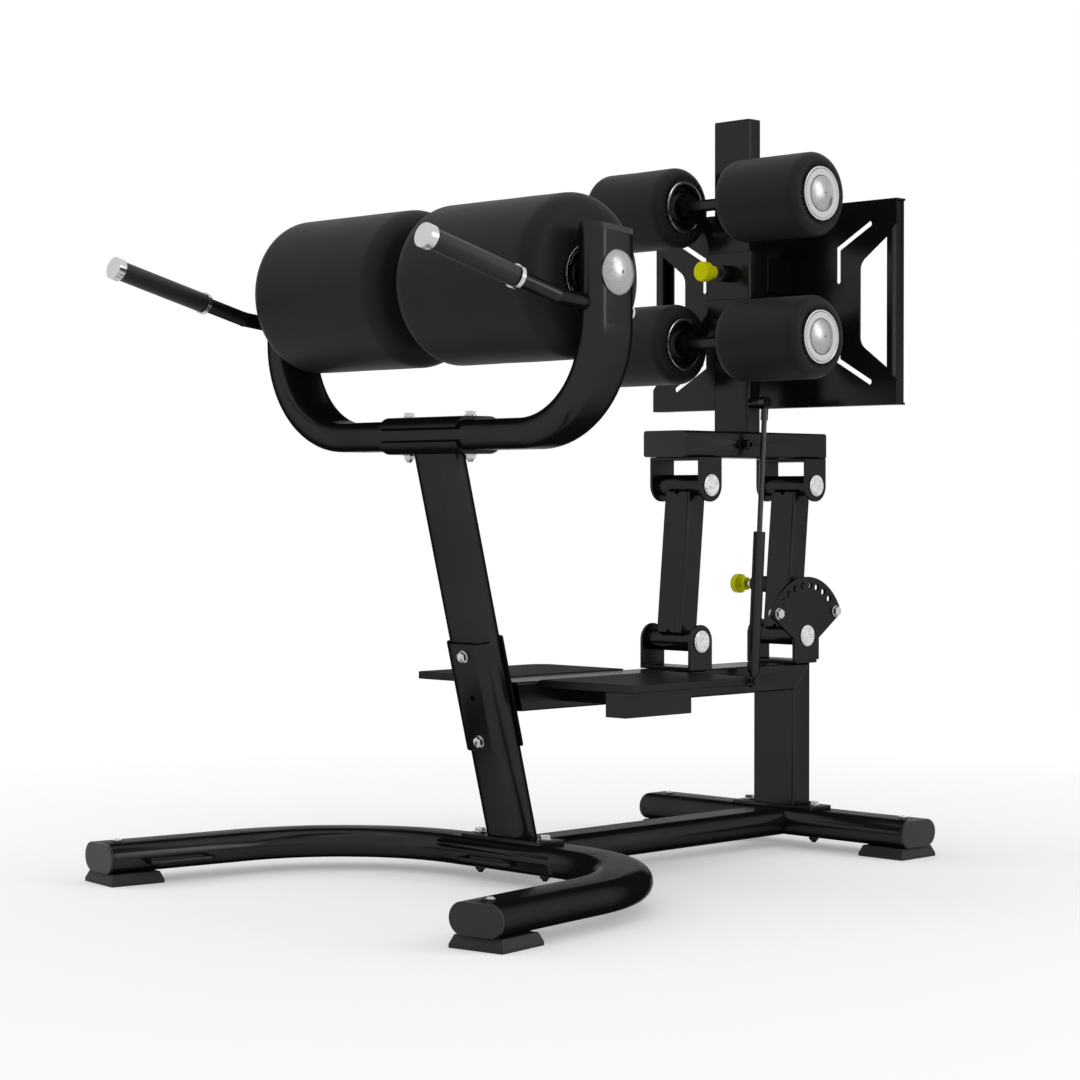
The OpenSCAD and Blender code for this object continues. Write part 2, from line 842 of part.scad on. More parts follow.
module roller_foam(d, l, edge, core, cup) {
    rotate([90, 0, 90]) rotate_extrude(angle = 360, $fn = 96) difference() {
        union() {
            translate([core / 2, edge]) square([(d - core) / 2, l - 2 * edge]);
            translate([core / 2, 0]) square([(d - core) / 2 - edge, l]);
            for (z = [edge, l - edge]) translate([d / 2 - edge, z]) circle(r = edge);
        }
        for (z = [-over, l - cup]) translate([0, z]) square([ring_d / 2 + fit_gap, cup + over]);
    }
}

// Core tube with a cup, a rim and a ring at each end. A face closes the cup of the outer end
// up to face_r from the axle, where it is given.
module roller_core(l, core, bore, cup, holes, face_r) {
    rim = 5;
    proud = 2;
    web = 3;
    flare = ring_d / 2 - rim;
    difference() {
        rotate([90, 0, 90]) rotate_extrude($fn = 96) {
            translate([bore / 2, cup - web]) square([core / 2 - fit_gap - bore / 2, l - 2 * (cup - web)]);
            for (z = [cup - web, l - cup]) translate([bore / 2, z]) square([ring_d / 2 - bore / 2, web]);
            for (z = [-proud, l - cup]) translate([flare, z]) square([rim, cup + proud]);
            if (face_r > 0) translate([face_r, l - 1]) square([ring_d / 2 - face_r, proud + 1]);
        }
        for (i = [0 : holes - 1]) rotate([i * 360 / holes, 0, 0])
            translate([-over, (core / 2 + flare) / 2, 0]) rod_x(9, -over, face_r > 0 ? l / 2 : l + 3 * over);
    }
}

thigh_cup = 14;
ankle_cup = 12;
cup_holes = 6;

module on_thigh(side) {
    translate([0, yoke_y, thigh_z]) mirror([side < 0 ? 1 : 0, 0, 0]) translate([thigh_gap / 2, 0, 0]) children();
}

module thigh_pad(side) {
    color(soft_black) on_thigh(side) roller_foam(thigh_d, thigh_l, thigh_edge_r, thigh_core_d, thigh_cup);
}

module thigh_core(side) {
    color(chrome_grey) on_thigh(side)
        roller_core(thigh_l, thigh_core_d, thigh_axle_d + 2 * running_gap, thigh_cup, cup_holes, 0);
}

module left_thigh_pad() { thigh_pad(-1); }
module left_thigh_core() { thigh_core(-1); }
module right_thigh_pad() { thigh_pad(1); }
module right_thigh_core() { thigh_core(1); }

// Pivot brackets: the web lies on the face at z = -pivot_rise, the ears reach up round the pivot

module ear_shape(drop) {
    circle(d = ear_w);
    translate([-ear_w / 2, -drop]) square([ear_w, drop]);
}

module bracket_ear(drop) {
    translate([ear_in, 0, 0]) along_x() linear_extrude(ear_t) difference() {
        ear_shape(drop);
        circle(d = pin_d + 2 * fit_gap);
    }
}

module bracket_web(drop) {
    translate([-ear_out, -ear_w / 2, -drop]) cube([2 * ear_out, ear_w, plate_t]);
}

module lower_brackets() {
    color(frame_black) {
        translate([0, front_pivot_y, lower_z]) {
            bracket_web(pivot_rise);
            both_sides() bracket_ear(pivot_rise);
        }
        translate([0, rear_pivot_y, lower_z]) {
            bracket_web(pivot_rise);
            mirror([1, 0, 0]) bracket_ear(pivot_rise);
        }
    }
}

upper_drop = pivot_rise - 1;

module upper_brackets() {
    color(frame_black) for (y = [front_pivot_y, rear_pivot_y])
        translate([0, y + lean_y, upper_z]) mirror([0, 0, 1]) {
            bracket_web(upper_drop);
            both_sides() bracket_ear(upper_drop);
        }
}

// The sector plate is the right ear of the rear bracket. Angles run from straight up, + to the rear.
function sector_angle(i) = link_lean + (i - sector_holes / 2) * sector_pitch;

module sector_shape() {
    wide = sector_r + over;
    neck = 36;
    difference() {
        union() {
            intersection() {
                circle(r = sector_r, $fn = 128);
                polygon([[0, -30], [wide, wide / tan(sector_half_angle) - 6], [wide, wide],
                    [-wide, wide], [-wide, wide / tan(sector_half_angle) - 6]]);
            }
            translate([-neck, -pivot_rise + plate_t]) square([2 * neck, pivot_rise - plate_t]);
        }
        circle(d = pin_d + 2 * fit_gap);
        for (i = [0 : sector_holes - 1]) rotate(-sector_angle(i))
            translate([0, sector_hole_r]) circle(d = sector_hole_d);
        for (s = [-1, 1]) rotate(s * stop_angle) translate([0, sector_hole_r]) circle(d = bolt_d + 2 * fit_gap);
    }
}

module sector_plate() {
    color(frame_black) translate([ear_in, rear_pivot_y, lower_z]) along_x()
        linear_extrude(ear_t) sector_shape();
}

// Stop bolts stand in from the sector plate, each with a nut on the inside
module stop_bolts() {
    reach = ear_t + washer_t + nut_h + 3;
    color(chrome_grey) translate([0, rear_pivot_y, lower_z]) for (s = [-1, 1])
        rotate([s * stop_angle, 0, 0]) translate([ear_out, 0, sector_hole_r]) rotate([0, 90, 0]) {
            bolt(reach);
            translate([0, 0, -ear_t]) nut();
        }
}

// A pivot pin with a polished head on each side of its bracket
module pivot_pin() {
    rod_x(pin_d, -ear_out, ear_out);
    both_sides() {
        rod_x(pin_head_d, ear_out, ear_out + pin_head_h - 1.5);
        rod_x(pin_head_d - 5, ear_out, ear_out + pin_head_h);
    }
}

module lower_pivot_pins() {
    color(chrome_grey) for (y = [front_pivot_y, rear_pivot_y]) translate([0, y, lower_z]) pivot_pin();
}

module upper_pivot_pins() {
    color(chrome_grey) for (y = [front_pivot_y, rear_pivot_y])
        translate([0, y + lean_y, upper_z]) pivot_pin();
}

// Links

module link_shape() {
    vent_r = 5;
    end = 14;
    difference() {
        union() {
            difference() {
                translate([0, 0, end]) linear_extrude(link_l - 2 * end) box_ring(link_w, link_t, tube_wall);
                for (z = [end, link_l - end]) translate([0, 0, z]) rotate([90, 0, 0]) cylinder(r = vent_r, h = link_t);
            }
            for (z = [0, link_l]) translate([0, 0, z]) rod_x(knuckle_d, -knuckle_l / 2, knuckle_l / 2);
        }
        for (z = [0, link_l]) translate([0, 0, z]) rod_x(bush_d, -knuckle_l, knuckle_l);
    }
}

module link_bush(bore) {
    difference() {
        union() {
            rod_x(bush_d, knuckle_l / 4, knuckle_l / 2 + over);
            rod_x(knuckle_d, knuckle_l / 2, knuckle_l / 2 + bush_flange_t);
        }
        rod_x(bore, 0, knuckle_l);
    }
}

module front_link() { color(frame_black) on_link(front_pivot_y) link_shape(); }

// The front link's upper pivot is the open one, so its bushes are a looser fit
module front_link_bushes() {
    color(plastic_black) on_link(front_pivot_y) {
        both_sides() link_bush(pin_d + 2 * running_gap);
        translate([0, 0, link_l]) both_sides() link_bush(pin_d + 2 * opened_gap);
    }
}

module rear_link() {
    color(frame_black) difference() {
        on_link(rear_pivot_y) link_shape();
        on_link(rear_pivot_y) translate([0, 0, sector_hole_r]) rod_x(pull_housing_d, -far / 2, far / 2);
    }
}

module rear_link_bushes() {
    color(plastic_black) on_link(rear_pivot_y) for (z = [0, link_l]) translate([0, 0, z])
        both_sides() link_bush(pin_d + 2 * running_gap);
}

// Pull pins slide in a housing. The child's X runs from the knob to the pin's nose.

module pull_housing(from, to, collar) {
    difference() {
        union() {
            rod_x(pull_housing_d - 2 * fit_gap, from, to);
            rod_x(pull_housing_d + 6, from, from + collar);
        }
        rod_x(pull_pin_d + 2 * running_gap, from - over, to + over);
    }
}

module pull_knob(d, l) {
    neck = d * 0.5;
    cap = l * 0.52;
    rotate([0, 90, 0]) rotate_extrude() difference() {
        union() {
            square([neck / 2, l]);
            translate([0, 3]) square([d / 2, cap - 6]);
            square([d / 2 - 3, cap]);
            for (z = [3, cap - 3]) translate([d / 2 - 3, z]) circle(r = 3);
            translate([0, l - 5]) square([neck / 2 + 3, 5]);
        }
        translate([0, l - 9]) square([pull_pin_d / 2 + fit_gap, 9 + over]);
        translate([-far, -over]) square([far, far]);
    }
}

link_pin_from = -link_w / 2 - link_housing_l;
link_nose_x = ear_in - seat_gap;
link_knob_l = 30;
knob_gap = 6 + pull_travel;

module on_link_pin() { on_link(rear_pivot_y) translate([0, 0, sector_hole_r]) children(); }

module link_pin_housing() {
    color(steel_grey) on_link_pin() pull_housing(link_pin_from, ear_in - 5.5, link_housing_l - 4);
}

module link_pull_pin() {
    color(chrome_grey) on_link_pin() rod_x(pull_pin_d, link_pin_from - knob_gap - 8, link_nose_x);
}

module link_pin_knob() {
    color(knob_yellow) on_link_pin() translate([link_pin_from - knob_gap - link_knob_l, 0, 0])
        pull_knob(link_knob_d, link_knob_l);
}

// Swing beam and column

module swing_beam() {
    color(frame_black) {
        translate([0, swing_y - swing_beam_l / 2, swing_bottom + swing_beam_t / 2]) along_y()
            linear_extrude(swing_beam_l) box_ring(box_w, swing_beam_t, tube_wall);
        translate([0, swing_y - 42, swing_bottom + swing_beam_t / 2]) difference() {
            rod_x(18, box_w / 2, strut_x - 7);
            rod_x(9, box_w / 2 + 4, strut_x);
        }
    }
}

module swing_end_plugs() {
    gap = tube_wall + fit_gap;
    color(plastic_black) {
        for (s = [-1, 1]) translate([0, swing_y + s * swing_beam_l / 2, swing_bottom + swing_beam_t / 2])
            rotate([s * -90, 0, 0]) {
                linear_extrude(3) soft_rect(box_w, swing_beam_t, box_r);
                translate([0, 0, -14]) linear_extrude(14 + over)
                    soft_rect(box_w - 2 * gap, swing_beam_t - 2 * gap, 2);
            }
        translate([0, column_y, column_top]) {
            linear_extrude(3) soft_rect(column_w, column_t, box_r);
            translate([0, 0, -14]) linear_extrude(14 + over)
                soft_rect(column_w - 2 * gap, column_t - 2 * gap, 2);
        }
    }
}

// Holes in the column's front wall, one below the rest place and the others above
module column() {
    color(frame_black) {
        difference() {
            translate([0, column_y, swing_top]) linear_extrude(column_h) box_ring(column_w, column_t, tube_wall);
            for (i = [-1 : column_holes - 2])
                translate([0, column_y, carriage_pin_z + i * column_pitch]) rotate([90, 0, 0])
                    cylinder(d = sector_hole_d, h = column_t);
        }
        translate([0, strut_high_y, strut_high_z]) strut_stud(column_w / 2);
    }
}

// Carriage

module sleeve() {
    in_x = column_w + 2 * sleeve_in;
    in_y = column_t + 2 * sleeve_in;
    color(frame_black) difference() {
        translate([0, column_y, sleeve_bottom]) linear_extrude(sleeve_h) difference() {
            soft_rect(2 * sleeve_half_x, sleeve_rear - sleeve_front, 4);
            square([in_x, in_y], center = true);
        }
        translate([0, sleeve_front - over, carriage_pin_z]) along_y()
            cylinder(d = pull_housing_d, h = sleeve_wall + 2 * over);
    }
}

module slide_liners() {
    w = column_w + 2 * slide_gap;
    t = column_t + 2 * slide_gap;
    color(plastic_black) difference() {
        translate([0, column_y, sleeve_bottom]) linear_extrude(sleeve_h) difference() {
            square([w + 2 * liner_t, t + 2 * liner_t], center = true);
            square([w, t], center = true);
        }
        translate([0, sleeve_front, carriage_pin_z]) along_y()
            cylinder(d = pull_housing_d, h = column_t / 2 + sleeve_wall);
    }
}

// Side of a gusset, drawn from the sleeve's end at v = 0 towards the axle; u = 0 is the sleeve's front
module gusset_shape(rise) {
    scoop = 66;
    reach = sleeve_front - ankle_y;
    slope = [gusset_t + reach, rise - gusset_web_h];
    turn = atan2(slope[1], -slope[0]) - asin(gusset_boss_r / norm(slope));
    run = sqrt(slope[0] * slope[0] + slope[1] * slope[1] - gusset_boss_r * gusset_boss_r);
    difference() {
        union() {
            translate([-reach, rise]) circle(r = gusset_boss_r);
            polygon([[-6, 0], [gusset_t, 0], [gusset_t, gusset_web_h],
                [gusset_t + run * cos(turn) - 0.1, gusset_web_h + run * sin(turn) - 0.2],
                [-reach, rise], [-reach - gusset_boss_r + 0.2, rise], [-reach - gusset_boss_r + 2, rise - 22]]);
        }
        translate([-reach, rise]) circle(d = ankle_axle_d + 2 * fit_gap);
        translate([-scoop, 0]) circle(r = scoop, $fn = 128);
    }
}

// A gusset is one bent plate: a web across the sleeve's front and two sides that carry the axle
module gusset(rise) {
    for (x = [-sleeve_half_x, sleeve_half_x - gusset_t]) translate([x, sleeve_front, 0]) along_x()
        linear_extrude(gusset_t) gusset_shape(rise);
    translate([-sleeve_half_x + 1, sleeve_front, 0]) cube([2 * sleeve_half_x - 2, gusset_t, gusset_web_h]);
}

module gusset_plates() {
    color(frame_black) {
        translate([0, 0, sleeve_bottom + sleeve_h]) gusset(ankle_z[1] - sleeve_bottom - sleeve_h);
        translate([0, 0, sleeve_bottom]) mirror([0, 0, 1]) gusset(sleeve_bottom - ankle_z[0]);
    }
}

// Ankle axles with a polished dome on each end
module ankle_axles() {
    cap_x = ankle_outer_x - ankle_cup + 4;
    cap_l = 11;
    color(chrome_grey) for (z = ankle_z) translate([0, ankle_y, z]) {
        rod_x(ankle_axle_d, -cap_x, cap_x);
        both_sides() {
            rod_x(ankle_dome_d, cap_x, cap_x + cap_l);
            translate([cap_x + cap_l, 0, 0]) dome(ankle_dome_d, ankle_dome_h);
        }
        both_sides() difference() {
            rod_x(ankle_axle_d + 14, sleeve_half_x, ankle_inner_x - seat_gap);
            rod_x(ankle_axle_d + 2 * fit_gap, 0, ankle_inner_x + over);
        }
    }
}

module on_ankle(side, level) {
    translate([0, ankle_y, ankle_z[level]]) mirror([side < 0 ? 1 : 0, 0, 0])
        translate([ankle_inner_x, 0, 0]) children();
}

module ankle_foam(side, level) {
    color(soft_black) on_ankle(side, level)
        roller_foam(ankle_d, ankle_l, ankle_edge_r, ankle_core_d, ankle_cup);
}

module ankle_hub(side, level) {
    color(chrome_grey) on_ankle(side, level)
        roller_core(ankle_l, ankle_core_d, ankle_axle_d + 2 * running_gap, ankle_cup, cup_holes,
            ankle_face_r);
}

module upper_left_roller() { ankle_foam(-1, 1); }
module upper_left_hub() { ankle_hub(-1, 1); }
module upper_right_roller() { ankle_foam(1, 1); }
module upper_right_hub() { ankle_hub(1, 1); }
module lower_left_roller() { ankle_foam(-1, 0); }
module lower_left_hub() { ankle_hub(-1, 0); }
module lower_right_roller() { ankle_foam(1, 0); }
module lower_right_hub() { ankle_hub(1, 0); }

// Foot plate: a sheet with bent edges, two hand holes and four bent slots

hole_in = foot_plate_w / 2 - 84.5;
hole_out = foot_plate_w / 2 - 22;
hole_in_h = 149;
hole_out_h = 241;
hole_r = 25;
slot_d = 10;

// Half of a hand hole, above the middle; its inner corner is round
module half_hand_hole() {
    slope = atan((hole_out_h - hole_in_h) / 2 / (hole_out - hole_in));
    drop = hole_r * tan((90 - slope) / 2);
    steps = 5;
    polygon([[hole_in, -over], [hole_out, -over], [hole_out, hole_out_h / 2],
        for (i = [0 : steps]) let (a = 90 + slope + i * (90 - slope) / steps)
            [hole_in + hole_r * (1 + cos(a)), hole_in_h / 2 - drop + hole_r * sin(a)]]);
}

module hand_hole() {
    half_hand_hole();
    mirror([0, 1, 0]) half_hand_hole();
}

module bent_slot() {
    outer = [foot_plate_w / 2 - 62, foot_plate_h / 2 - 43];
    corner = [foot_plate_w / 2 - 134, foot_plate_h / 2 - 84];
    inner = [corner[0], 44];
    slot([outer, corner, inner], slot_d);
}

// The sheet is narrower beside the hand holes, where its edge is bent round
module right_sheet_half() {
    w = foot_plate_w / 2;
    h = foot_plate_h / 2;
    notch = w - 11;
    polygon([[0, -h], [w, -h], [w, 43 - h], [notch, 56 - h], [notch, h - 56], [w, h - 43], [w, h], [0, h]]);
}

// Bent edge beside a hand hole, seen from above: a bend, a flange and a lip
module edge_shape() {
    bend_r = 5;
    lip = 24;
    t = foot_plate_t;
    translate([-bend_r, bend_r]) intersection() {
        difference() {
            circle(r = bend_r);
            circle(r = bend_r - t);
        }
        translate([0, -bend_r]) square(bend_r);
    }
    translate([-t, bend_r]) square([t, flange_d - bend_r]);
    translate([-lip, flange_d - t]) square([lip, t]);
}

module foot_plate() {
    rim = 26;
    edge_x = foot_plate_w / 2 - 6;
    color(frame_black) translate([0, plate_y, foot_plate_z]) {
        translate([0, foot_plate_t, 0]) rotate([90, 0, 0]) linear_extrude(foot_plate_t) both_sides() difference() {
            right_sheet_half();
            hand_hole();
            bent_slot();
            mirror([0, 1, 0]) bent_slot();
        }
        both_sides() translate([edge_x, 0, -foot_plate_h / 2]) linear_extrude(foot_plate_h) edge_shape();
        for (s = [-1, 1]) translate([0, rim / 2, s * (foot_plate_h - foot_plate_t) / 2])
            cube([foot_plate_w, rim, foot_plate_t], center = true);
    }
}

module foot_plate_arms() {
    arm_t = 6;
    color(frame_black) both_sides()
        translate([sleeve_half_x - arm_t - 2, sleeve_rear, sleeve_z - arm_plate_h / 2 + 3])
            cube([arm_t, plate_y - sleeve_rear, arm_plate_h]);
}

// The carriage's pull pin points back into the column
module on_carriage_pin() { translate([0, sleeve_front, carriage_pin_z]) rotate([0, 0, 90]) children(); }

carriage_knob_l = 34;
carriage_nose = sleeve_wall + sleeve_in - seat_gap;

module carriage_pin_housing() {
    color(steel_grey) on_carriage_pin()
        pull_housing(-carriage_housing_l, sleeve_wall + liner_t, carriage_housing_l - fit_gap);
}

module carriage_pull_pin() {
    color(chrome_grey) on_carriage_pin() rod_x(pull_pin_d, -carriage_housing_l - knob_gap - 8, carriage_nose);
}

module carriage_pin_knob() {
    color(knob_yellow) on_carriage_pin() translate([-carriage_housing_l - knob_gap - carriage_knob_l, 0, 0])
        pull_knob(carriage_knob_d, carriage_knob_l);
}

// Strut: the rod runs down inside the cylinder

module strut_eye(z) {
    translate([0, 0, z]) rod_x(eye_d, -eye_t / 2, eye_t / 2);
}

module strut_cylinder() {
    base = 20;
    color(soft_black) on_strut() difference() {
        union() {
            strut_eye(0);
            translate([0, 0, eye_d / 2 - 2]) cylinder(d = strut_d - 8, h = base - eye_d / 2 + 2);
            translate([0, 0, base - 4]) cylinder(d = strut_d, h = strut_cylinder_l - base + 4);
        }
        rod_x(stud_d + 2 * running_gap, -eye_t, eye_t);
        translate([0, 0, base]) cylinder(d = strut_d - 4, h = strut_cylinder_l - base - gland_l);
        cylinder_top = strut_cylinder_l - gland_l - over;
        translate([0, 0, cylinder_top]) cylinder(d = strut_rod_d + 2 * gland_gap, h = gland_l + 2 * over);
    }
}

strut_tip_l = 32;
strut_l = norm([strut_high_y - strut_low_y, strut_high_z - strut_low_z]);

module strut_rod() {
    piston_h = 10;
    color(steel_grey) on_strut() difference() {
        union() {
            strut_eye(strut_l);
            translate([0, 0, strut_l - strut_rod_l]) {
                cylinder(d = strut_rod_d, h = strut_rod_l);
                cylinder(d = strut_d - 6, h = piston_h);
            }
            translate([0, 0, strut_l - strut_tip_l])
                cylinder(d = strut_rod_d + 4, h = strut_tip_l - eye_d / 2 + 1);
        }
        translate([0, 0, strut_l]) rod_x(stud_d + 2 * running_gap, -eye_t, eye_t);
    }
}

front_u_tube();
base_beam();
rear_crossbar();
tube_end_caps();
rubber_feet();
band_hooks();
front_post();
rear_post();
post_base_plates();
frame_bolts();
mid_beam();
clamp_plates();
yoke_saddles();
step_plates();
step_supports();
yoke();
yoke_end_caps();
thigh_axle();
handles();
handle_grips();
handle_trim();
lower_brackets();
sector_plate();
lower_pivot_pins();
stop_bolts();
left_thigh_pad();
left_thigh_core();
right_thigh_pad();
right_thigh_core();
front_link();
front_link_bushes();
rear_link();
rear_link_bushes();
link_pin_housing();
link_pull_pin();
link_pin_knob();
swing_beam();
swing_end_plugs();
upper_brackets();
upper_pivot_pins();
column();
sleeve();
slide_liners();
gusset_plates();
ankle_axles();
foot_plate();
foot_plate_arms();
carriage_pin_housing();
carriage_pull_pin();
carriage_pin_knob();
upper_left_roller();
upper_left_hub();
upper_right_roller();
upper_right_hub();
lower_left_roller();
lower_left_hub();
lower_right_roller();
lower_right_hub();
strut_cylinder();
strut_rod();
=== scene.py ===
# Glute ham developer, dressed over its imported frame.
# X is across the machine, +Y runs from the handles to the foot plate, Z is up.
# Sizes are in metres, and profiles are drawn in millimetres.
import json
import math

import bmesh
import bpy
from mathutils import Matrix, Vector, noise


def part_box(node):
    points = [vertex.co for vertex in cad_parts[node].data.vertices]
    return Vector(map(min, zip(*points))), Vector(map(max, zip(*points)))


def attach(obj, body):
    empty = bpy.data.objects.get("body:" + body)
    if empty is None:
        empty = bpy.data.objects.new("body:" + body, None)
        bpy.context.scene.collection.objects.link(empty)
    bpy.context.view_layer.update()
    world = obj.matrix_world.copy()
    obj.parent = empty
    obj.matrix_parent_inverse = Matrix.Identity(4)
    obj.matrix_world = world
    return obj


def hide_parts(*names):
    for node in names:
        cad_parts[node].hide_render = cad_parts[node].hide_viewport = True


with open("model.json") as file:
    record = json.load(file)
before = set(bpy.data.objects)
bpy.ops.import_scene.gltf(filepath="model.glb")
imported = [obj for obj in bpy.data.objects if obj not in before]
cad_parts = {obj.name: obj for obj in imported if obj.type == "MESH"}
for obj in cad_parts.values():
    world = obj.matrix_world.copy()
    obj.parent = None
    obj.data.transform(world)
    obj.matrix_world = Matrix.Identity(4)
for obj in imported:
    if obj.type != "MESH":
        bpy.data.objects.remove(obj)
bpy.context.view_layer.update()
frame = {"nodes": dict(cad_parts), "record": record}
nodes = frame["nodes"]
scene = bpy.context.scene
MM = 0.001


# Materials


class Wire:
    """An output of a material's node. Python arithmetic on it adds Math nodes."""

    def __init__(self, finish, socket):
        self.finish = finish
        self.socket = socket

    def math(self, operation, *terms):
        return self.finish.node("ShaderNodeMath", {"operation": operation}, terms)

    def __add__(self, other):
        return self.math("ADD", self, other)

    def __sub__(self, other):
        return self.math("SUBTRACT", self, other)

    def __rsub__(self, other):
        return self.math("SUBTRACT", other, self)

    def __mul__(self, other):
        return self.math("MULTIPLY", self, other)

    def __truediv__(self, other):
        return self.math("DIVIDE", self, other)

    __radd__ = __add__
    __rmul__ = __mul__

    def clamp(self):
        return self.finish.node("ShaderNodeClamp", {}, [self, 0.0, 1.0])


class Finish:
    """A material under construction, built on one Principled shader."""

    def __init__(self, name, **sockets):
        self.material = bpy.data.materials.new(name)
        self.material.use_nodes = True
        self.tree = self.material.node_tree
        self.shader = self.tree.nodes["Principled BSDF"]
        for key, value in sockets.items():
            self.set(key.replace("_", " "), value)

    def set(self, socket, value):
        target = self.shader.inputs[socket]
        if isinstance(value, Wire):
            self.tree.links.new(value.socket, target)
        else:
            target.default_value = value

    def node(self, kind, settings, feeds, out=0):
        made = self.tree.nodes.new(kind)
        for key, value in settings.items():
            setattr(made, key, value)
        named = feeds.items() if isinstance(feeds, dict) else enumerate(feeds)
        for key, value in named:
            if isinstance(value, Wire):
                self.tree.links.new(value.socket, made.inputs[key])
            else:
                made.inputs[key].default_value = value
        return Wire(self, made.outputs[out])

    def where(self):
        """Object coordinates."""
        return self.node("ShaderNodeTexCoord", {}, {}, "Object")

    def noise(self, where, scale, detail=2.0, roughness=0.5):
        feeds = {"Vector": where, "Scale": scale, "Detail": detail, "Roughness": roughness}
        return self.node("ShaderNodeTexNoise", {}, feeds, "Fac")

    def cells(self, where, scale):
        feeds = {"Vector": where, "Scale": scale}
        return self.node("ShaderNodeTexVoronoi", {}, feeds, "Distance")

    def shade(self, factor, dark, light):
        feeds = {"Factor": factor, 6: dark, 7: light}
        return self.node("ShaderNodeMix", {"data_type": "RGBA"}, feeds, 2)

    def patches(self, spread, tone, roughness):
        """Faint patches in a finish's tone and gloss."""
        self.set("Base Color", self.shade(spread, grey(tone * TONE_LOW), grey(tone * TONE_HIGH)))
        self.set("Roughness", roughness - GLOSS_SWING / 2 + spread * GLOSS_SWING)

    def bump(self, height, strength, distance):
        feeds = {"Height": height, "Strength": strength, "Distance": distance}
        self.set("Normal", self.node("ShaderNodeBump", {}, feeds))


TONE_LOW = 0.85
TONE_HIGH = 1.2
GLOSS_SWING = 0.1
PAINT_METALLIC = 0.78
LOW_ANGLE_TINT = 0.18


def grey(value):
    return (value, value, value, 1)


def powder_coat(name, tone, roughness, grain):
    """Black powder coat: a fine orange peel, faint patches, hardly any glare at low angles."""
    f = Finish(name, Metallic=PAINT_METALLIC, Specular_IOR_Level=0.0,
               Specular_Tint=grey(LOW_ANGLE_TINT))
    where = f.where()
    spread = f.noise(where, scale=9.0, detail=3.0)
    peel = f.noise(where, scale=620.0)
    f.patches(spread, tone, roughness)
    f.bump(peel, strength=grain, distance=0.4 * MM)
    return f.material


def moulded_plastic(name, tone, roughness, scale=900.0, grain=0.15):
    """Matt plastic or rubber with a fine moulded grain."""
    f = Finish(name, Specular_IOR_Level=0.35)
    where = f.where()
    speckle = f.noise(where, scale)
    spread = f.noise(where, scale=12.0)
    f.patches(spread, tone, roughness)
    f.bump(speckle, strength=grain, distance=0.5 * MM)
    return f.material


def pad_cover():
    """Soft coated cover: small pebbled grain, faint handling marks."""
    f = Finish("pad_cover", Specular_IOR_Level=0.08)
    where = f.where()
    pebbles = f.cells(where, scale=520.0)
    fine = f.noise(where, scale=1500.0)
    marks = f.noise(where, scale=14.0, detail=4.0, roughness=0.6)
    f.set("Base Color", f.shade(marks, grey(0.018), grey(0.024)))
    f.set("Roughness", 0.46 + marks * 0.12)
    f.bump(pebbles * 0.7 + fine * 0.3, strength=0.2, distance=0.5 * MM)
    return f.material


def polished_metal(name, tone, roughness, scale, grain):
    """Plated or turned metal with a faintly uneven polish."""
    f = Finish(name, Metallic=1.0)
    where = f.where()
    smear = f.noise(where, scale, detail=4.0, roughness=0.65)
    fine = f.noise(where, scale * 9)
    f.set("Base Color", f.shade(smear, grey(tone * 0.86), grey(tone)))
    f.set("Roughness", roughness + smear * 0.12)
    f.bump(smear * 0.6 + fine * 0.4, strength=grain, distance=0.3 * MM)
    return f.material


def speckled_metal(name, dark, light, roughness):
    """Zinc-like plating: small patches of lighter and darker crystals."""
    f = Finish(name, Metallic=1.0)
    where = f.where()
    crystals = f.cells(where, scale=420.0)
    smear = f.noise(where, scale=90.0, detail=4.0, roughness=0.7)
    middle, contrast = 0.42, 2.0
    mixed = ((crystals * 0.8 + smear * 0.9 - middle) * contrast).clamp()
    f.set("Base Color", f.shade(mixed, grey(dark), grey(light)))
    f.set("Roughness", roughness + smear * 0.14)
    f.bump(mixed, strength=0.35, distance=0.3 * MM)
    return f.material


def knob_plastic():
    """Strong yellow plastic, smooth to the touch."""
    f = Finish("knob_yellow", Specular_IOR_Level=0.05)
    where = f.where()
    broad = f.noise(where, scale=40.0)
    f.set("Base Color", f.shade(broad, (0.7, 0.7, 0.001, 1), (0.78, 0.78, 0.002, 1)))
    f.set("Roughness", 0.3 + broad * 0.1)
    f.bump(f.noise(where, scale=1200.0), strength=0.08, distance=0.3 * MM)
    return f.material


paint = powder_coat("frame_paint", tone=0.031, roughness=0.2, grain=0.1)
step_paint = powder_coat("step_paint", tone=0.03, roughness=0.42, grain=0.35)
strut_paint = powder_coat("strut_black", tone=0.035, roughness=0.24, grain=0.06)
inside_black = powder_coat("inside_black", tone=0.022, roughness=0.4, grain=0.08)
cap_plastic = moulded_plastic("cap_plastic", tone=0.009, roughness=0.42)
bush_plastic = moulded_plastic("bush_plastic", tone=0.007, roughness=0.4)
foot_rubber = moulded_plastic("foot_rubber", tone=0.009, roughness=0.6, scale=500.0, grain=0.3)
grip_rubber = moulded_plastic("grip_rubber", tone=0.007, roughness=0.5, scale=800.0, grain=0.25)
cover = pad_cover()
chrome = polished_metal("bolt_chrome", tone=0.56, roughness=0.1, scale=60.0, grain=0.1)
dome_metal = speckled_metal("dome_metal", dark=0.26, light=0.4, roughness=0.24)
head_metal = speckled_metal("head_metal", dark=0.2, light=0.75, roughness=0.22)
tip_metal = polished_metal("tip_chrome", tone=0.62, roughness=0.12, scale=60.0, grain=0.1)
ring_metal = polished_metal("hub_metal", tone=0.6, roughness=0.16, scale=80.0, grain=0.12)
steel = powder_coat("housing_steel", tone=0.03, roughness=0.3, grain=0.1)
rod_metal = polished_metal("rod_steel", tone=0.06, roughness=0.22, scale=200.0, grain=0.08)
yellow = knob_plastic()

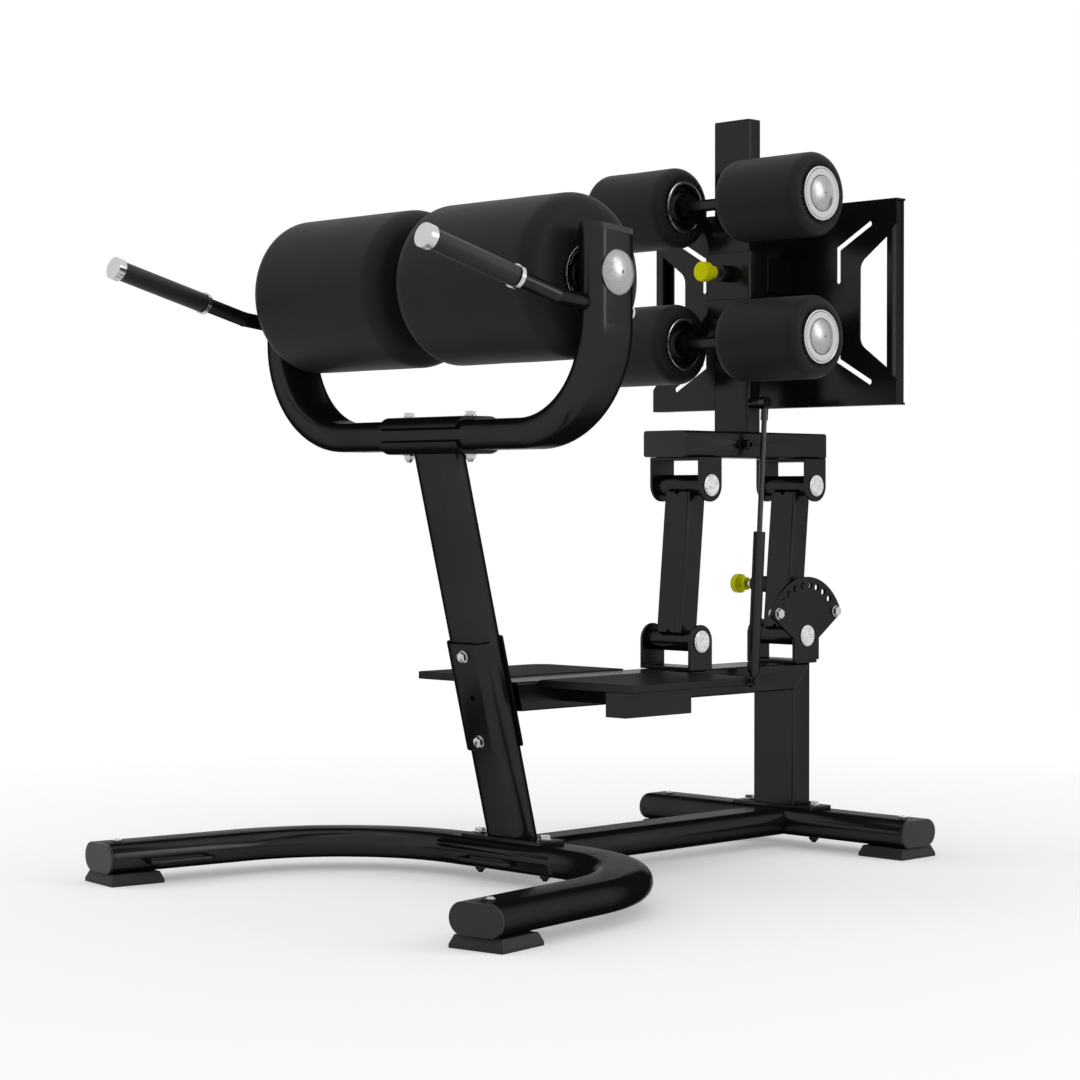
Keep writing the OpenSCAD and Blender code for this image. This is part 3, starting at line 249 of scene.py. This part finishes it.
SLOT_FINISH = {
    "frame_paint": paint,
    "step_paint": step_paint,
    "cap_plastic": cap_plastic,
    "foot_rubber": foot_rubber,
    "bolt_chrome": chrome,
    "grip_rubber": grip_rubber,
    "pad_cover": cover,
    "hub_metal": ring_metal,
    "bush_plastic": bush_plastic,
    "housing_steel": steel,
    "knob_yellow": yellow,
    "strut_black": strut_paint,
    "rod_steel": rod_metal,
}
SLOT_OF = {part["node"]: part["material_slot"] for part in frame["record"]["subparts"]}
BODIES = frame["record"]["behaviour"]["bodies"]
BODY_OF = {node: body for body, members in BODIES.items() for node in members}
for node, part in nodes.items():
    part.data.materials.clear()
    part.data.materials.append(SLOT_FINISH[SLOT_OF[node]])


# Meshes

WELD = 1e-6
ON_AXIS = 1e-7
CAD_WELD = 2e-6
FLAT = math.radians(1.0)


def centre(node):
    low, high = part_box(node)
    return (Vector(low) + Vector(high)) / 2


def shade(mesh, corner):
    """Smooth shading that breaks at edges sharper than a corner in degrees."""
    mesh.shade_smooth()
    mesh.set_sharp_from_angle(angle=math.radians(corner))


def object_from(name, work):
    """Turns a bmesh into an object with outward faces."""
    bmesh.ops.remove_doubles(work, verts=work.verts, dist=WELD)
    bmesh.ops.recalc_face_normals(work, faces=work.faces)
    mesh = bpy.data.meshes.new(name)
    work.to_mesh(mesh)
    work.free()
    made = bpy.data.objects.new(name, mesh)
    scene.collection.objects.link(made)
    return made


def piece_from(name, work, material, corner):
    """Turns a bmesh into a painted and shaded object."""
    made = object_from(name, work)
    made.data.materials.append(material)
    shade(made.data, corner)
    return made


def template_from(work):
    """An object that only serves as the shape to copy."""
    made = object_from("template", work)
    bpy.context.view_layer.update()
    return made


def drawn(points, along=0.0, reach=0.0):
    """A profile's points, drawn in millimetres from a given place."""
    return [(along + x * MM, reach + r * MM) for x, r in points]


def arc(middle, radius, start, end, count):
    """Points of a profile along an arc, angles in degrees."""
    points = []
    for i in range(count + 1):
        turn = math.radians(start + (end - start) * i / count)
        points.append((middle[0] + radius * math.cos(turn), middle[1] + radius * math.sin(turn)))
    return points


def lathe(work, profile, place, steps, ripple=None):
    """Turns a profile of (along, radius) round the X axis of place."""
    rings = []
    for along, radius in profile:
        if radius < ON_AXIS:
            ring = [work.verts.new(place @ Vector((along, 0, 0)))] * steps
        else:
            ring = []
            for step in range(steps):
                turn = 2 * math.pi * step / steps
                push = ripple(along, radius, turn) if ripple else (0, 0)
                reach = radius + push[1]
                spot = (along + push[0], reach * math.cos(turn), reach * math.sin(turn))
                ring.append(work.verts.new(place @ Vector(spot)))
        rings.append(ring)
    for near, far in zip(rings, rings[1:]):
        for step in range(steps):
            after = (step + 1) % steps
            corner = [near[step], near[after], far[after], far[step]]
            loop = [v for i, v in enumerate(corner) if v not in corner[:i]]
            if len(loop) > 2:
                work.faces.new(loop)


def along_x(at, flip=False):
    spot = Matrix.Translation(Vector(at))
    return spot @ Matrix.Rotation(math.pi, 4, "Z") if flip else spot


def finish_piece(made, slot, body, *nodes_replaced):
    """Sets a piece on its body and hides the CAD nodes that it stands for. The slot argument is
    not used.
    """
    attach(made, body)
    if nodes_replaced:
        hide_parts(*nodes_replaced)
    return made


def merged(node):
    """A closed copy of a CAD node's mesh, its flat faces joined to single ones."""
    work = bmesh.new()
    work.from_mesh(nodes[node].data)
    bmesh.ops.remove_doubles(work, verts=work.verts, dist=CAD_WELD)
    bmesh.ops.dissolve_limit(work, angle_limit=FLAT, verts=work.verts, edges=work.edges)
    return work


def softened(node, width, name=None, material=None):
    """Stands for a CAD node, its sharp edges rounded as paint and bending leave them."""
    slot = SLOT_OF[node]
    made = piece_from(name or f"{node}_finished", merged(node), material or SLOT_FINISH[slot],
                      corner=35)
    if width > 0:
        bevel = made.modifiers.new("rounded_edges", "BEVEL")
        bevel.width = width
        bevel.segments = 2
        bevel.limit_method = "ANGLE"
        bevel.angle_limit = math.radians(28.0)
        bevel.harden_normals = True
        bevel.use_clamp_overlap = True
    return finish_piece(made, slot, BODY_OF[node], node)


def copying_tree(name, template, material):
    """Geometry Nodes that put a copy of the template on each point, turned as it says."""
    tree = bpy.data.node_groups.new(f"{name}_tree", "GeometryNodeTree")
    face = tree.interface
    face.new_socket("Geometry", in_out="INPUT", socket_type="NodeSocketGeometry")
    grow = face.new_socket("Size", in_out="INPUT", socket_type="NodeSocketFloat")
    grow.default_value = 1.0
    face.new_socket("Geometry", in_out="OUTPUT", socket_type="NodeSocketGeometry")

    def step(kind, **links):
        made = tree.nodes.new(kind)
        for key, value in links.items():
            socket = made.inputs[key]
            if isinstance(value, bpy.types.NodeSocket):
                tree.links.new(value, socket)
            else:
                socket.default_value = value
        return made

    start = step("NodeGroupInput")
    shape = step("GeometryNodeObjectInfo", Object=template)
    aim = tree.nodes.new("GeometryNodeInputNamedAttribute")
    aim.data_type = "FLOAT_VECTOR"
    aim.inputs["Name"].default_value = "turn"
    placed = step("GeometryNodeInstanceOnPoints", Points=start.outputs["Geometry"],
                  Instance=shape.outputs["Geometry"], Rotation=aim.outputs["Attribute"],
                  Scale=start.outputs["Size"])
    real = step("GeometryNodeRealizeInstances", Geometry=placed.outputs["Instances"])
    painted = step("GeometryNodeSetMaterial", Geometry=real.outputs["Geometry"],
                   Material=material)
    end = step("NodeGroupOutput")
    tree.links.new(painted.outputs["Geometry"], end.inputs[0])
    return tree, grow.identifier


def scattered(name, spots, template, material):
    """Copies of a small mesh at a list of places, joined to one mesh."""
    points = bpy.data.meshes.new(f"{name}_points")
    points.from_pydata([spot.translation for spot in spots], [], [])
    turn = points.attributes.new("turn", "FLOAT_VECTOR", "POINT")
    for value, spot in zip(turn.data, spots):
        value.vector = spot.to_euler()
    host = bpy.data.objects.new(name, points)
    scene.collection.objects.link(host)
    tree, grow = copying_tree(name, template, material)
    modifier = host.modifiers.new("copies", "NODES")
    modifier.node_group = tree
    modifier[grow] = 1.0
    ready = host.evaluated_get(bpy.context.evaluated_depsgraph_get())
    mesh = bpy.data.meshes.new_from_object(ready)
    mesh.name = name
    host.modifiers.clear()
    host.data = mesh
    shade(mesh, 35)
    bpy.data.objects.remove(template)
    return host


# Padded rollers

PLEATS = 34
STEPS_PER_PLEAT = 12
TUCK = 12 * MM
PLEAT_ZONE = 8 * MM
PLEAT_DEPTH = 4.5 * MM
RIDGE_RISE = 1.2 * MM
SWELL_MM = 0.6
SWELLS_ALONG, SWELLS_ROUND = 14, 1.6
COVER_IN = 0.3 * MM
RING_R = 48 * MM
FOAM_BORE_R = RING_R - 4 * MM
TURNED_IN = [(10, -3), (5, -2), (2, -0.5), (0.6, 0.8)]


def roller_profile(length, radius, edge):
    """Profile of a padded roller's cover, from one ring round to the other."""
    face_end = radius - edge
    tucked_end = RING_R + TUCK
    start = drawn(TURNED_IN, reach=RING_R)
    start += [(COVER_IN, RING_R + TUCK * t) for t in (0.15, 0.3, 0.45, 0.6, 0.8, 1.0)]
    if face_end > tucked_end:
        start += [(COVER_IN * (1 - t), tucked_end + t * (face_end - tucked_end))
                  for t in (0.35, 0.7)]
    start = [p for p in start if p[1] < face_end] + arc((edge, face_end), edge, 180, 90, 12)
    wall = [(edge + (length / 2 - edge) * t, radius) for t in (0.12, 0.3, 0.5, 0.75, 1.0)]
    half = start + wall
    return half + [(length - along, reach) for along, reach in reversed(half[:-1])]


def padded_roller(name, node, body, edge, side):
    """Round foam under a cover that is gathered in pleats round each ring."""
    low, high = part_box(node)
    length, radius = high[0] - low[0], (high[2] - low[2]) / 2
    middle = centre(node)
    start = Vector((high[0] if side < 0 else low[0], middle.y, middle.z))
    seed = Vector((middle.x * 7, middle.y * 3, middle.z * 5))

    def ripple(along, reach, turn):
        """Push of a point along and out: pleats near a ring, a faint swell elsewhere."""
        toward = min(along, length - along)
        across, up = math.cos(turn), math.sin(turn)
        spot = Vector((along * SWELLS_ALONG, across * SWELLS_ROUND, up * SWELLS_ROUND))
        swell = noise.noise(spot + seed) * SWELL_MM * MM
        if reach > RING_R + TUCK or toward > PLEAT_ZONE:
            return (0, min(0.0, swell))
        wander = noise.noise(Vector((across, up, 4 * along)) * 5 + seed)
        ridge = (0.5 + 0.5 * math.cos(turn * PLEATS + wander * 1.4)) ** 5
        fade = max(0.0, 1 - max(0.0, reach - RING_R) / TUCK) ** 0.7
        valley = PLEAT_DEPTH * (1 - ridge) * (0.85 + 0.3 * wander)
        depth = fade * (valley - RIDGE_RISE * ridge)
        return (depth if along < length / 2 else -depth, 0)

    steps = PLEATS * STEPS_PER_PLEAT
    work = bmesh.new()
    place = along_x(start, side < 0)
    lathe(work, roller_profile(length, radius, edge), place, steps, ripple)
    near, lip = drawn(TURNED_IN, reach=RING_R)[0]
    far = length - near
    lathe(work, [(near, lip), (near, FOAM_BORE_R), (far, FOAM_BORE_R), (far, lip)], place, steps)
    made = piece_from(name, work, cover, corner=70)
    return finish_piece(made, "pad_cover", body, node)


# Hubs: polished rings round a black cup, and a polished face on the outer ends of the ankle
# rollers. Each profile is drawn from the bore's or the rim's radius, or from the axis.

PROUD = 0.25 * MM
RIM_R = RING_R + PROUD
RING_BORE_R = 42.7 * MM
RING_BORE = [(8, 0), (-1.9, 0), (-2.2, 0.2), (-2.5, 0.9)]
RING_RIM = [(-2.5, -0.9), (-2.2, -0.2), (-1.9, 0), (4, 0), (4, -1)]
RING_BACK = [(8, 0.5), (8, 0)]
FACE_BORE = [(1, 0), (-1.45, 0), (-2.15, 0.8)]
FACE_RIM = [(-2.15, -4.6), (-1.65, -4.2), (-2.15, -3.6), (-2.75, -2.4), (-2.65, -1.0),
            (-1.5, -0.1), (0.4, 0), (3, 0)]
FACE_BACK = [(3, 0), (1, 0)]
COLLAR_FOOT_R = 32 * MM
COLLAR_CONE = [(4, 27), (2.6, 25.6), (2.4, 24.5), (3.2, 23.4)]
THIGH_EDGE, ANKLE_EDGE = 30 * MM, 20 * MM
THIGH_CUP, ANKLE_CUP = 14 * MM, 12 * MM
THIGH_SHAFT_R, ANKLE_SHAFT_R = 12.8 * MM, 11.3 * MM
DOME_SEAT_R = 31.8 * MM


def ring_profile():
    """A rolled ring whose lip stands just proud of the cover, from its bore to its back."""
    return (drawn(RING_BORE, reach=RING_BORE_R) + drawn(RING_RIM, reach=RIM_R)
            + drawn(RING_BACK, reach=RING_BORE_R))


def face_profile(bore_r):
    """A flat annulus with a raised rim, closing the outer end round the axle's dome."""
    return (drawn(FACE_BORE, reach=bore_r) + drawn(FACE_RIM, reach=RIM_R)
            + drawn(FACE_BACK, reach=bore_r))


def collar_profile(cup, bore_r):
    """A raised cone round the axle inside the cup."""
    foot = cup - 3 * MM
    back = foot + 2 * MM
    return [(foot, COLLAR_FOOT_R), *drawn(COLLAR_CONE), (foot, 22 * MM), (foot + 1 * MM, bore_r),
            (back, bore_r), (back, COLLAR_FOOT_R), (foot, COLLAR_FOOT_R)]


def hub_rings(name, pad, hub, body, side, cup, bore_r, face_r=None):
    """Rings at both ends of a roller, over the black cups of its hub."""
    low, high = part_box(pad)
    middle = centre(pad)
    inner = Vector((high[0] if side < 0 else low[0], middle.y, middle.z))
    outer = Vector((low[0] if side < 0 else high[0], middle.y, middle.z))
    softened(hub, 0.8 * MM, f"{name}_cups", inside_black)
    bright = bmesh.new()
    lathe(bright, ring_profile(), along_x(inner, side < 0), 128)
    lathe(bright, face_profile(face_r) if face_r else ring_profile(),
          along_x(outer, side > 0), 128)
    finish_piece(piece_from(f"{name}_rings", bright, ring_metal, corner=30), "hub_metal", body)
    dark = bmesh.new()
    lathe(dark, collar_profile(cup, bore_r), along_x(inner, side < 0), 64)
    if not face_r:
        lathe(dark, collar_profile(cup, bore_r), along_x(outer, side > 0), 64)
    finish_piece(piece_from(f"{name}_collars", dark, inside_black, corner=40), "hub_metal", body)


for side, hand in ((-1, "left"), (1, "right")):
    pad, body = f"{hand}_thigh_pad", f"{hand}_thigh_roller"
    padded_roller(f"{hand}_thigh_cover", pad, body, THIGH_EDGE, side)
    hub_rings(f"{hand}_thigh", pad, f"{hand}_thigh_core", body, side, THIGH_CUP, THIGH_SHAFT_R)
    for level in ("upper", "lower"):
        name = f"{level}_{hand}"
        pad, body = f"{name}_roller", f"{name}_ankle_roller"
        padded_roller(f"{name}_ankle_cover", pad, body, ANKLE_EDGE, side)
        hub_rings(f"{name}_ankle", pad, f"{name}_hub", body, side, ANKLE_CUP, ANKLE_SHAFT_R,
                  DOME_SEAT_R)


# Axles: black shafts with polished domes. A dome stands proud of the CAD's all over.

CENTRE_MARK_R = 3.2 * MM
CENTRE_MARK = [(0, 2.6), (-0.5, 1.9), (-0.1, 1.2), (-1.2, 0.9), (-1.4, 0)]
DOME_STEPS = 16
THIGH_CAP_L, ANKLE_CAP_L = 12 * MM, 19 * MM
ANKLE_DOME_R = 31 * MM


def dome_profile(flange_r, flange, radius, foot, rise):
    """A turned flange and dome with a rolled edge, a fine groove and a centre mark."""
    ball = (radius ** 2 + rise ** 2) / (2 * rise)
    points = [(0, flange_r - 1 * MM), (0, flange_r), (flange - 0.5 * MM, flange_r),
              (flange, flange_r - 0.5 * MM), (flange, radius + 0.25 * MM),
              (flange - 0.4 * MM, radius)]
    for i in range(DOME_STEPS):
        reach = radius * math.cos(math.pi / 2 * i / DOME_STEPS)
        if reach > CENTRE_MARK_R:
            points.append((foot + rise - ball + math.sqrt(ball ** 2 - reach ** 2), reach))
    return points + drawn(CENTRE_MARK, along=foot + rise)


def axle_domes(node, levels, cap_l, profile):
    """Polished domes over both ends of a shaft, and the shaft itself in black."""
    low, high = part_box(node)
    softened(node, 0.5 * MM, f"{node}_shafts", paint)
    work = bmesh.new()
    for z in levels:
        for side in (-1, 1):
            tip = high[0] if side > 0 else low[0]
            place = along_x((tip - side * cap_l, (low[1] + high[1]) / 2, z), side < 0)
            lathe(work, profile, place, 96)
    domes = piece_from(f"{node}_domes", work, dome_metal, corner=24)
    finish_piece(domes, SLOT_OF[node], BODY_OF[node])


thigh_low, thigh_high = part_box("thigh_axle")
axle_domes("thigh_axle", [(thigh_low[2] + thigh_high[2]) / 2], THIGH_CAP_L,
           dome_profile(flange_r=35 * MM + PROUD, flange=2.5 * MM + PROUD,
                        radius=34 * MM + PROUD, foot=2 * MM + PROUD, rise=10 * MM))
ankle_low, ankle_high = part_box("ankle_axles")
axle_domes("ankle_axles", [ankle_low[2] + ANKLE_DOME_R, ankle_high[2] - ANKLE_DOME_R],
           ANKLE_CAP_L,
           dome_profile(flange_r=ANKLE_DOME_R + PROUD, flange=10.9 * MM, radius=30.9 * MM,
                        foot=11 * MM + PROUD, rise=8 * MM))


# Fasteners: one shape of each kind, copied to the places of the CAD's bolts

HEX_STEPS = 48
HEX_FLAT = 16 * MM
DISC_STEPS = 32
WASHER_R = 10.5 * MM
WASHER_T = 2.1 * MM
THREAD = [(10, 0), (10, 4.9), (10.7, 4.3), (11.3, 4.9), (12, 4.3), (12.6, 4.7), (13.1, 3.9),
          (13.1, 0)]
CROSS_HEAD = [(3, 0), (3, 5.2), (4.4, 4.9), (5.1, 3.6), (5.1, 2.7), (3.4, 2.5), (3.4, 0)]
UP = Matrix.Rotation(-math.pi / 2, 4, "Y")


def islands(node):
    """The loose solids of a CAD node, each as a list of its corners."""
    work = merged(node)
    seen = set()
    groups = []
    for first in work.verts:
        if first in seen:
            continue
        seen.add(first)
        queue, group = [first], []
        while queue:
            vertex = queue.pop()
            group.append(vertex.co.copy())
            for edge in vertex.link_edges:
                other = edge.other_vert(vertex)
                if other not in seen:
                    seen.add(other)
                    queue.append(other)
        groups.append(group)
    work.free()
    return groups


def axis_of(corners):
    """Middle, direction and half length of a turned solid, pointing to its wider end."""
    low = Vector([min(c[i] for c in corners) for i in range(3)])
    high = Vector([max(c[i] for c in corners) for i in range(3)])
    middle = (low + high) / 2
    way = max(corners, key=lambda c: (c - middle).length) - middle
    for _ in range(12):
        total = Vector()
        for corner in corners:
            total += (corner - middle) * (corner - middle).dot(way)
        way = total.normalized()  # each round turns it closer to the corners' long axis
    reach = []
    for corner in corners:
        along = (corner - middle).dot(way)
        reach.append((along, ((corner - middle) - way * along).length))
    top = max(r for along, r in reach if along > 0)
    bottom = max(r for along, r in reach if along < 0)
    if bottom > top:
        way = -way
        reach = [(-along, r) for along, r in reach]
    return middle, way, max(along for along, r in reach)


def hexagon(work, low, high):
    """A hexagonal prism about Z whose top corners are turned off."""
    inner = HEX_FLAT * 0.475
    rings = []
    for level in ("low", "high", "top"):
        ring = []
        for step in range(HEX_STEPS):
            turn = 2 * math.pi * step / HEX_STEPS
            local = (turn + math.pi / 6) % (math.pi / 3) - math.pi / 6
            reach = HEX_FLAT / 2 / math.cos(local)
            if level == "low":
                z = low
            elif level == "high":
                z = high - (reach - inner) * 0.55
            else:
                z, reach = high, inner
            ring.append(work.verts.new((reach * math.cos(turn), reach * math.sin(turn), z)))
        rings.append(ring)
    for near, far in zip(rings, rings[1:]):
        for step in range(HEX_STEPS):
            after = (step + 1) % HEX_STEPS
            work.faces.new((near[step], near[after], far[after], far[step]))
    work.faces.new(list(reversed(rings[0])))
    work.faces.new(rings[-1])


def disc(work, radius, low, high, soft):
    """A round plate about Z with softened edges."""
    lathe(work, [(low, 0), (low, radius - soft), (low + soft, radius), (high - soft, radius),
                 (high, radius - soft), (high, 0)], UP, DISC_STEPS)


def bolt_head():
    work = bmesh.new()
    disc(work, WASHER_R, 0, WASHER_T, 0.4 * MM)
    hexagon(work, 2 * MM, 8.6 * MM)
    return template_from(work)


def nut_end():
    """Washer, locking nut and the end of the thread."""
    work = bmesh.new()
    disc(work, WASHER_R, 0, WASHER_T, 0.4 * MM)
    hexagon(work, 2 * MM, 8.2 * MM)
    disc(work, 6.8 * MM, 8.1 * MM, 10.1 * MM, 0.8 * MM)
    lathe(work, drawn(THREAD), UP, DISC_STEPS)
    return template_from(work)


def screw_head():
    work = bmesh.new()
    disc(work, 7.6 * MM, 0, 3.1 * MM, 0.5 * MM)
    lathe(work, drawn(CROSS_HEAD), UP, 30)
    return template_from(work)


def pointing(at, way):
    return Matrix.Translation(at) @ way.to_track_quat("Z", "Y").to_matrix().to_4x4()


SHORTEST_BOLT = 12 * MM
FOOT_SCREW_BELOW = 90 * MM
FOOT_SCREW_BEYOND = 200 * MM
SHADE_PAINTED_NUT_BELOW = 120 * MM
SCREW_HEAD_L = 5 * MM
BOLT_HEAD_L = 8.5 * MM
NUT_END_L = 13 * MM

heads, nuts, low_nuts, screws = [], [], [], []
for corners in islands("frame_bolts"):
    middle, way, half = axis_of(corners)
    if half < SHORTEST_BOLT:
        continue
    if abs(way.z) > 0.99 and middle.z < FOOT_SCREW_BELOW and abs(middle.x) > FOOT_SCREW_BEYOND:
        screws.append(pointing(middle + way * (half - SCREW_HEAD_L), way))
        continue
    heads.append(pointing(middle + way * (half - BOLT_HEAD_L), way))
    # Nuts that hang under the base tubes are painted shade: they take the dark housing finish in
    # place of chrome because they sit in shadow there.
    below = way.z > 0.9 and middle.z < SHADE_PAINTED_NUT_BELOW
    (low_nuts if below else nuts).append(pointing(middle - way * (half - NUT_END_L), -way))
finish_piece(scattered("bolt_heads", heads, bolt_head(), chrome), "bolt_chrome", "base",
             "frame_bolts")
finish_piece(scattered("bolt_nuts", nuts, nut_end(), chrome), "bolt_chrome", "base")
# Painted shade: the same nuts as the chrome ones, in a dark finish because they sit in shadow.
finish_piece(scattered("low_nuts", low_nuts, nut_end(), steel), "bolt_chrome", "base")
finish_piece(scattered("foot_screws", screws, screw_head(), chrome), "bolt_chrome", "base")


# Frame: the CAD's shapes with softened edges, their widths in millimetres

SOFT_EDGES = {
    "front_post": 1.0, "rear_post": 1.2, "mid_beam": 1.2, "post_base_plates": 1.5,
    "clamp_plates": 1.5, "yoke_saddles": 1.5, "step_plates": 1.5, "step_supports": 1.0,
    "yoke": 0.8, "base_beam": 0.6, "front_u_tube": 0.6, "rear_crossbar": 0.6,
    "lower_brackets": 1.2, "sector_plate": 1.2, "upper_brackets": 1.2, "front_link": 1.0,
    "rear_link": 1.0, "swing_beam": 0.8, "column": 0.8, "sleeve": 1.2, "gusset_plates": 1.2,
    "foot_plate": 1.0, "foot_plate_arms": 1.0, "tube_end_caps": 2.0, "yoke_end_caps": 2.5,
    "swing_end_plugs": 1.2, "rubber_feet": 2.0, "handle_grips": 2.0, "handle_trim": 0,
    "carriage_pin_housing": 1.0, "link_pin_housing": 1.0, "carriage_pin_knob": 1.0,
    "link_pin_knob": 1.0, "stop_bolts": 0.5, "handles": 0, "lower_pivot_pins": 0.7,
    "upper_pivot_pins": 0.7, "strut_cylinder": 0.8, "strut_rod": 0.5,
    "front_link_bushes": 0.5, "rear_link_bushes": 0.5,
}
OWN_FINISH = {
    "lower_pivot_pins": head_metal,
    "upper_pivot_pins": head_metal,
    "handle_trim": tip_metal,
}
for node, width in SOFT_EDGES.items():
    softened(node, width * MM, material=OWN_FINISH.get(node))


# Floor, light and camera

CAMERA_AT = (3.1908, -3.2431, 0.6511)
CAMERA_TURN = 45.11
CAMERA_DIP = 0.87
CAMERA_LENS = 86.9
FLOOR_SIZE = 60
FLOOR_TONE = 0.84
FLOOR_GLOW = 0.28
WHITE_FROM = 0.7
WHITE_OVER = 1.6
SKY_AS_LIGHT = 0.52
SKY_AS_SEEN = 1.0


def studio_floor():
    """A pale floor that keeps the object's shadow and turns plain white further out."""
    bpy.ops.mesh.primitive_plane_add(size=FLOOR_SIZE)
    floor = bpy.context.object
    floor.name = "studio_floor"
    f = Finish("studio_floor", Base_Color=grey(FLOOR_TONE), Roughness=0.9,
               Specular_IOR_Level=0.0)
    seen = f.node("ShaderNodeLightPath", {}, {}, "Is Camera Ray")
    mirrored = f.node("ShaderNodeLightPath", {}, {}, "Is Glossy Ray")
    away = f.node("ShaderNodeVectorMath", {"operation": "LENGTH"}, [f.where()], "Value")
    far = ((away - WHITE_FROM) / WHITE_OVER).clamp()
    shown = (seen + mirrored).clamp()
    glow = f.node("ShaderNodeEmission", {}, {"Color": grey(1), "Strength": shown * FLOOR_GLOW})
    near = f.node("ShaderNodeAddShader", {}, [Wire(f, f.shader.outputs[0]), glow])
    white = f.node("ShaderNodeEmission", {}, {"Color": grey(1), "Strength": 1.0})
    both = f.node("ShaderNodeMixShader", {}, [shown * far, near, white])
    f.tree.links.new(both.socket, f.tree.nodes["Material Output"].inputs["Surface"])
    floor.data.materials.append(f.material)


def studio_sky():
    """White where the camera or a reflection looks, dimmer as a light."""
    world = bpy.data.worlds.new("studio_sky")
    scene.world = world
    world.use_nodes = True
    tree = world.node_tree
    back = tree.nodes["Background"]
    back.inputs["Color"].default_value = grey(1)
    path = tree.nodes.new("ShaderNodeLightPath")
    total = path.outputs["Is Camera Ray"]
    for ray in ("Is Glossy Ray", "Is Transmission Ray"):
        add = tree.nodes.new("ShaderNodeMath")
        add.operation = "ADD"
        add.use_clamp = True
        tree.links.new(total, add.inputs[0])
        tree.links.new(path.outputs[ray], add.inputs[1])
        total = add.outputs[0]
    blend = tree.nodes.new("ShaderNodeMapRange")
    tree.links.new(total, blend.inputs["Value"])
    blend.inputs["To Min"].default_value = SKY_AS_LIGHT
    blend.inputs["To Max"].default_value = SKY_AS_SEEN
    tree.links.new(blend.outputs[0], back.inputs["Strength"])


def soft_box(name, at, aim, width, height, power):
    data = bpy.data.lights.new(name, "AREA")
    data.shape = "RECTANGLE"
    data.size, data.size_y, data.energy = width, height, power
    lamp = bpy.data.objects.new(name, data)
    scene.collection.objects.link(lamp)
    lamp.location = at
    lamp.rotation_euler = (Vector(aim) - Vector(at)).to_track_quat("-Z", "Y").to_euler()
    return lamp


def studio_camera():
    data = bpy.data.cameras.new("camera")
    data.sensor_fit = "HORIZONTAL"
    data.sensor_width = 36
    data.lens = CAMERA_LENS
    data.clip_end = 100
    camera = bpy.data.objects.new("camera", data)
    scene.collection.objects.link(camera)
    camera.location = CAMERA_AT
    camera.rotation_euler = (math.radians(90 - CAMERA_DIP), 0, math.radians(CAMERA_TURN))
    scene.camera = camera


studio_floor()
studio_sky()
soft_box("overhead", (0.0, -0.2, 3.4), (0, 0, 0.4), 3.2, 3.2, power=18)
left = soft_box("left_side", (-3.8, -1.8, 1.9), (0, 0, 0.7), 3.0, 3.2, power=42)
left.visible_glossy = False  # its mirror image would turn the left handle's end face white
soft_box("right_back", (3.4, 1.6, 2.0), (0, 0, 0.6), 1.2, 2.2, power=31)
studio_camera()
scene.view_settings.view_transform = "Standard"
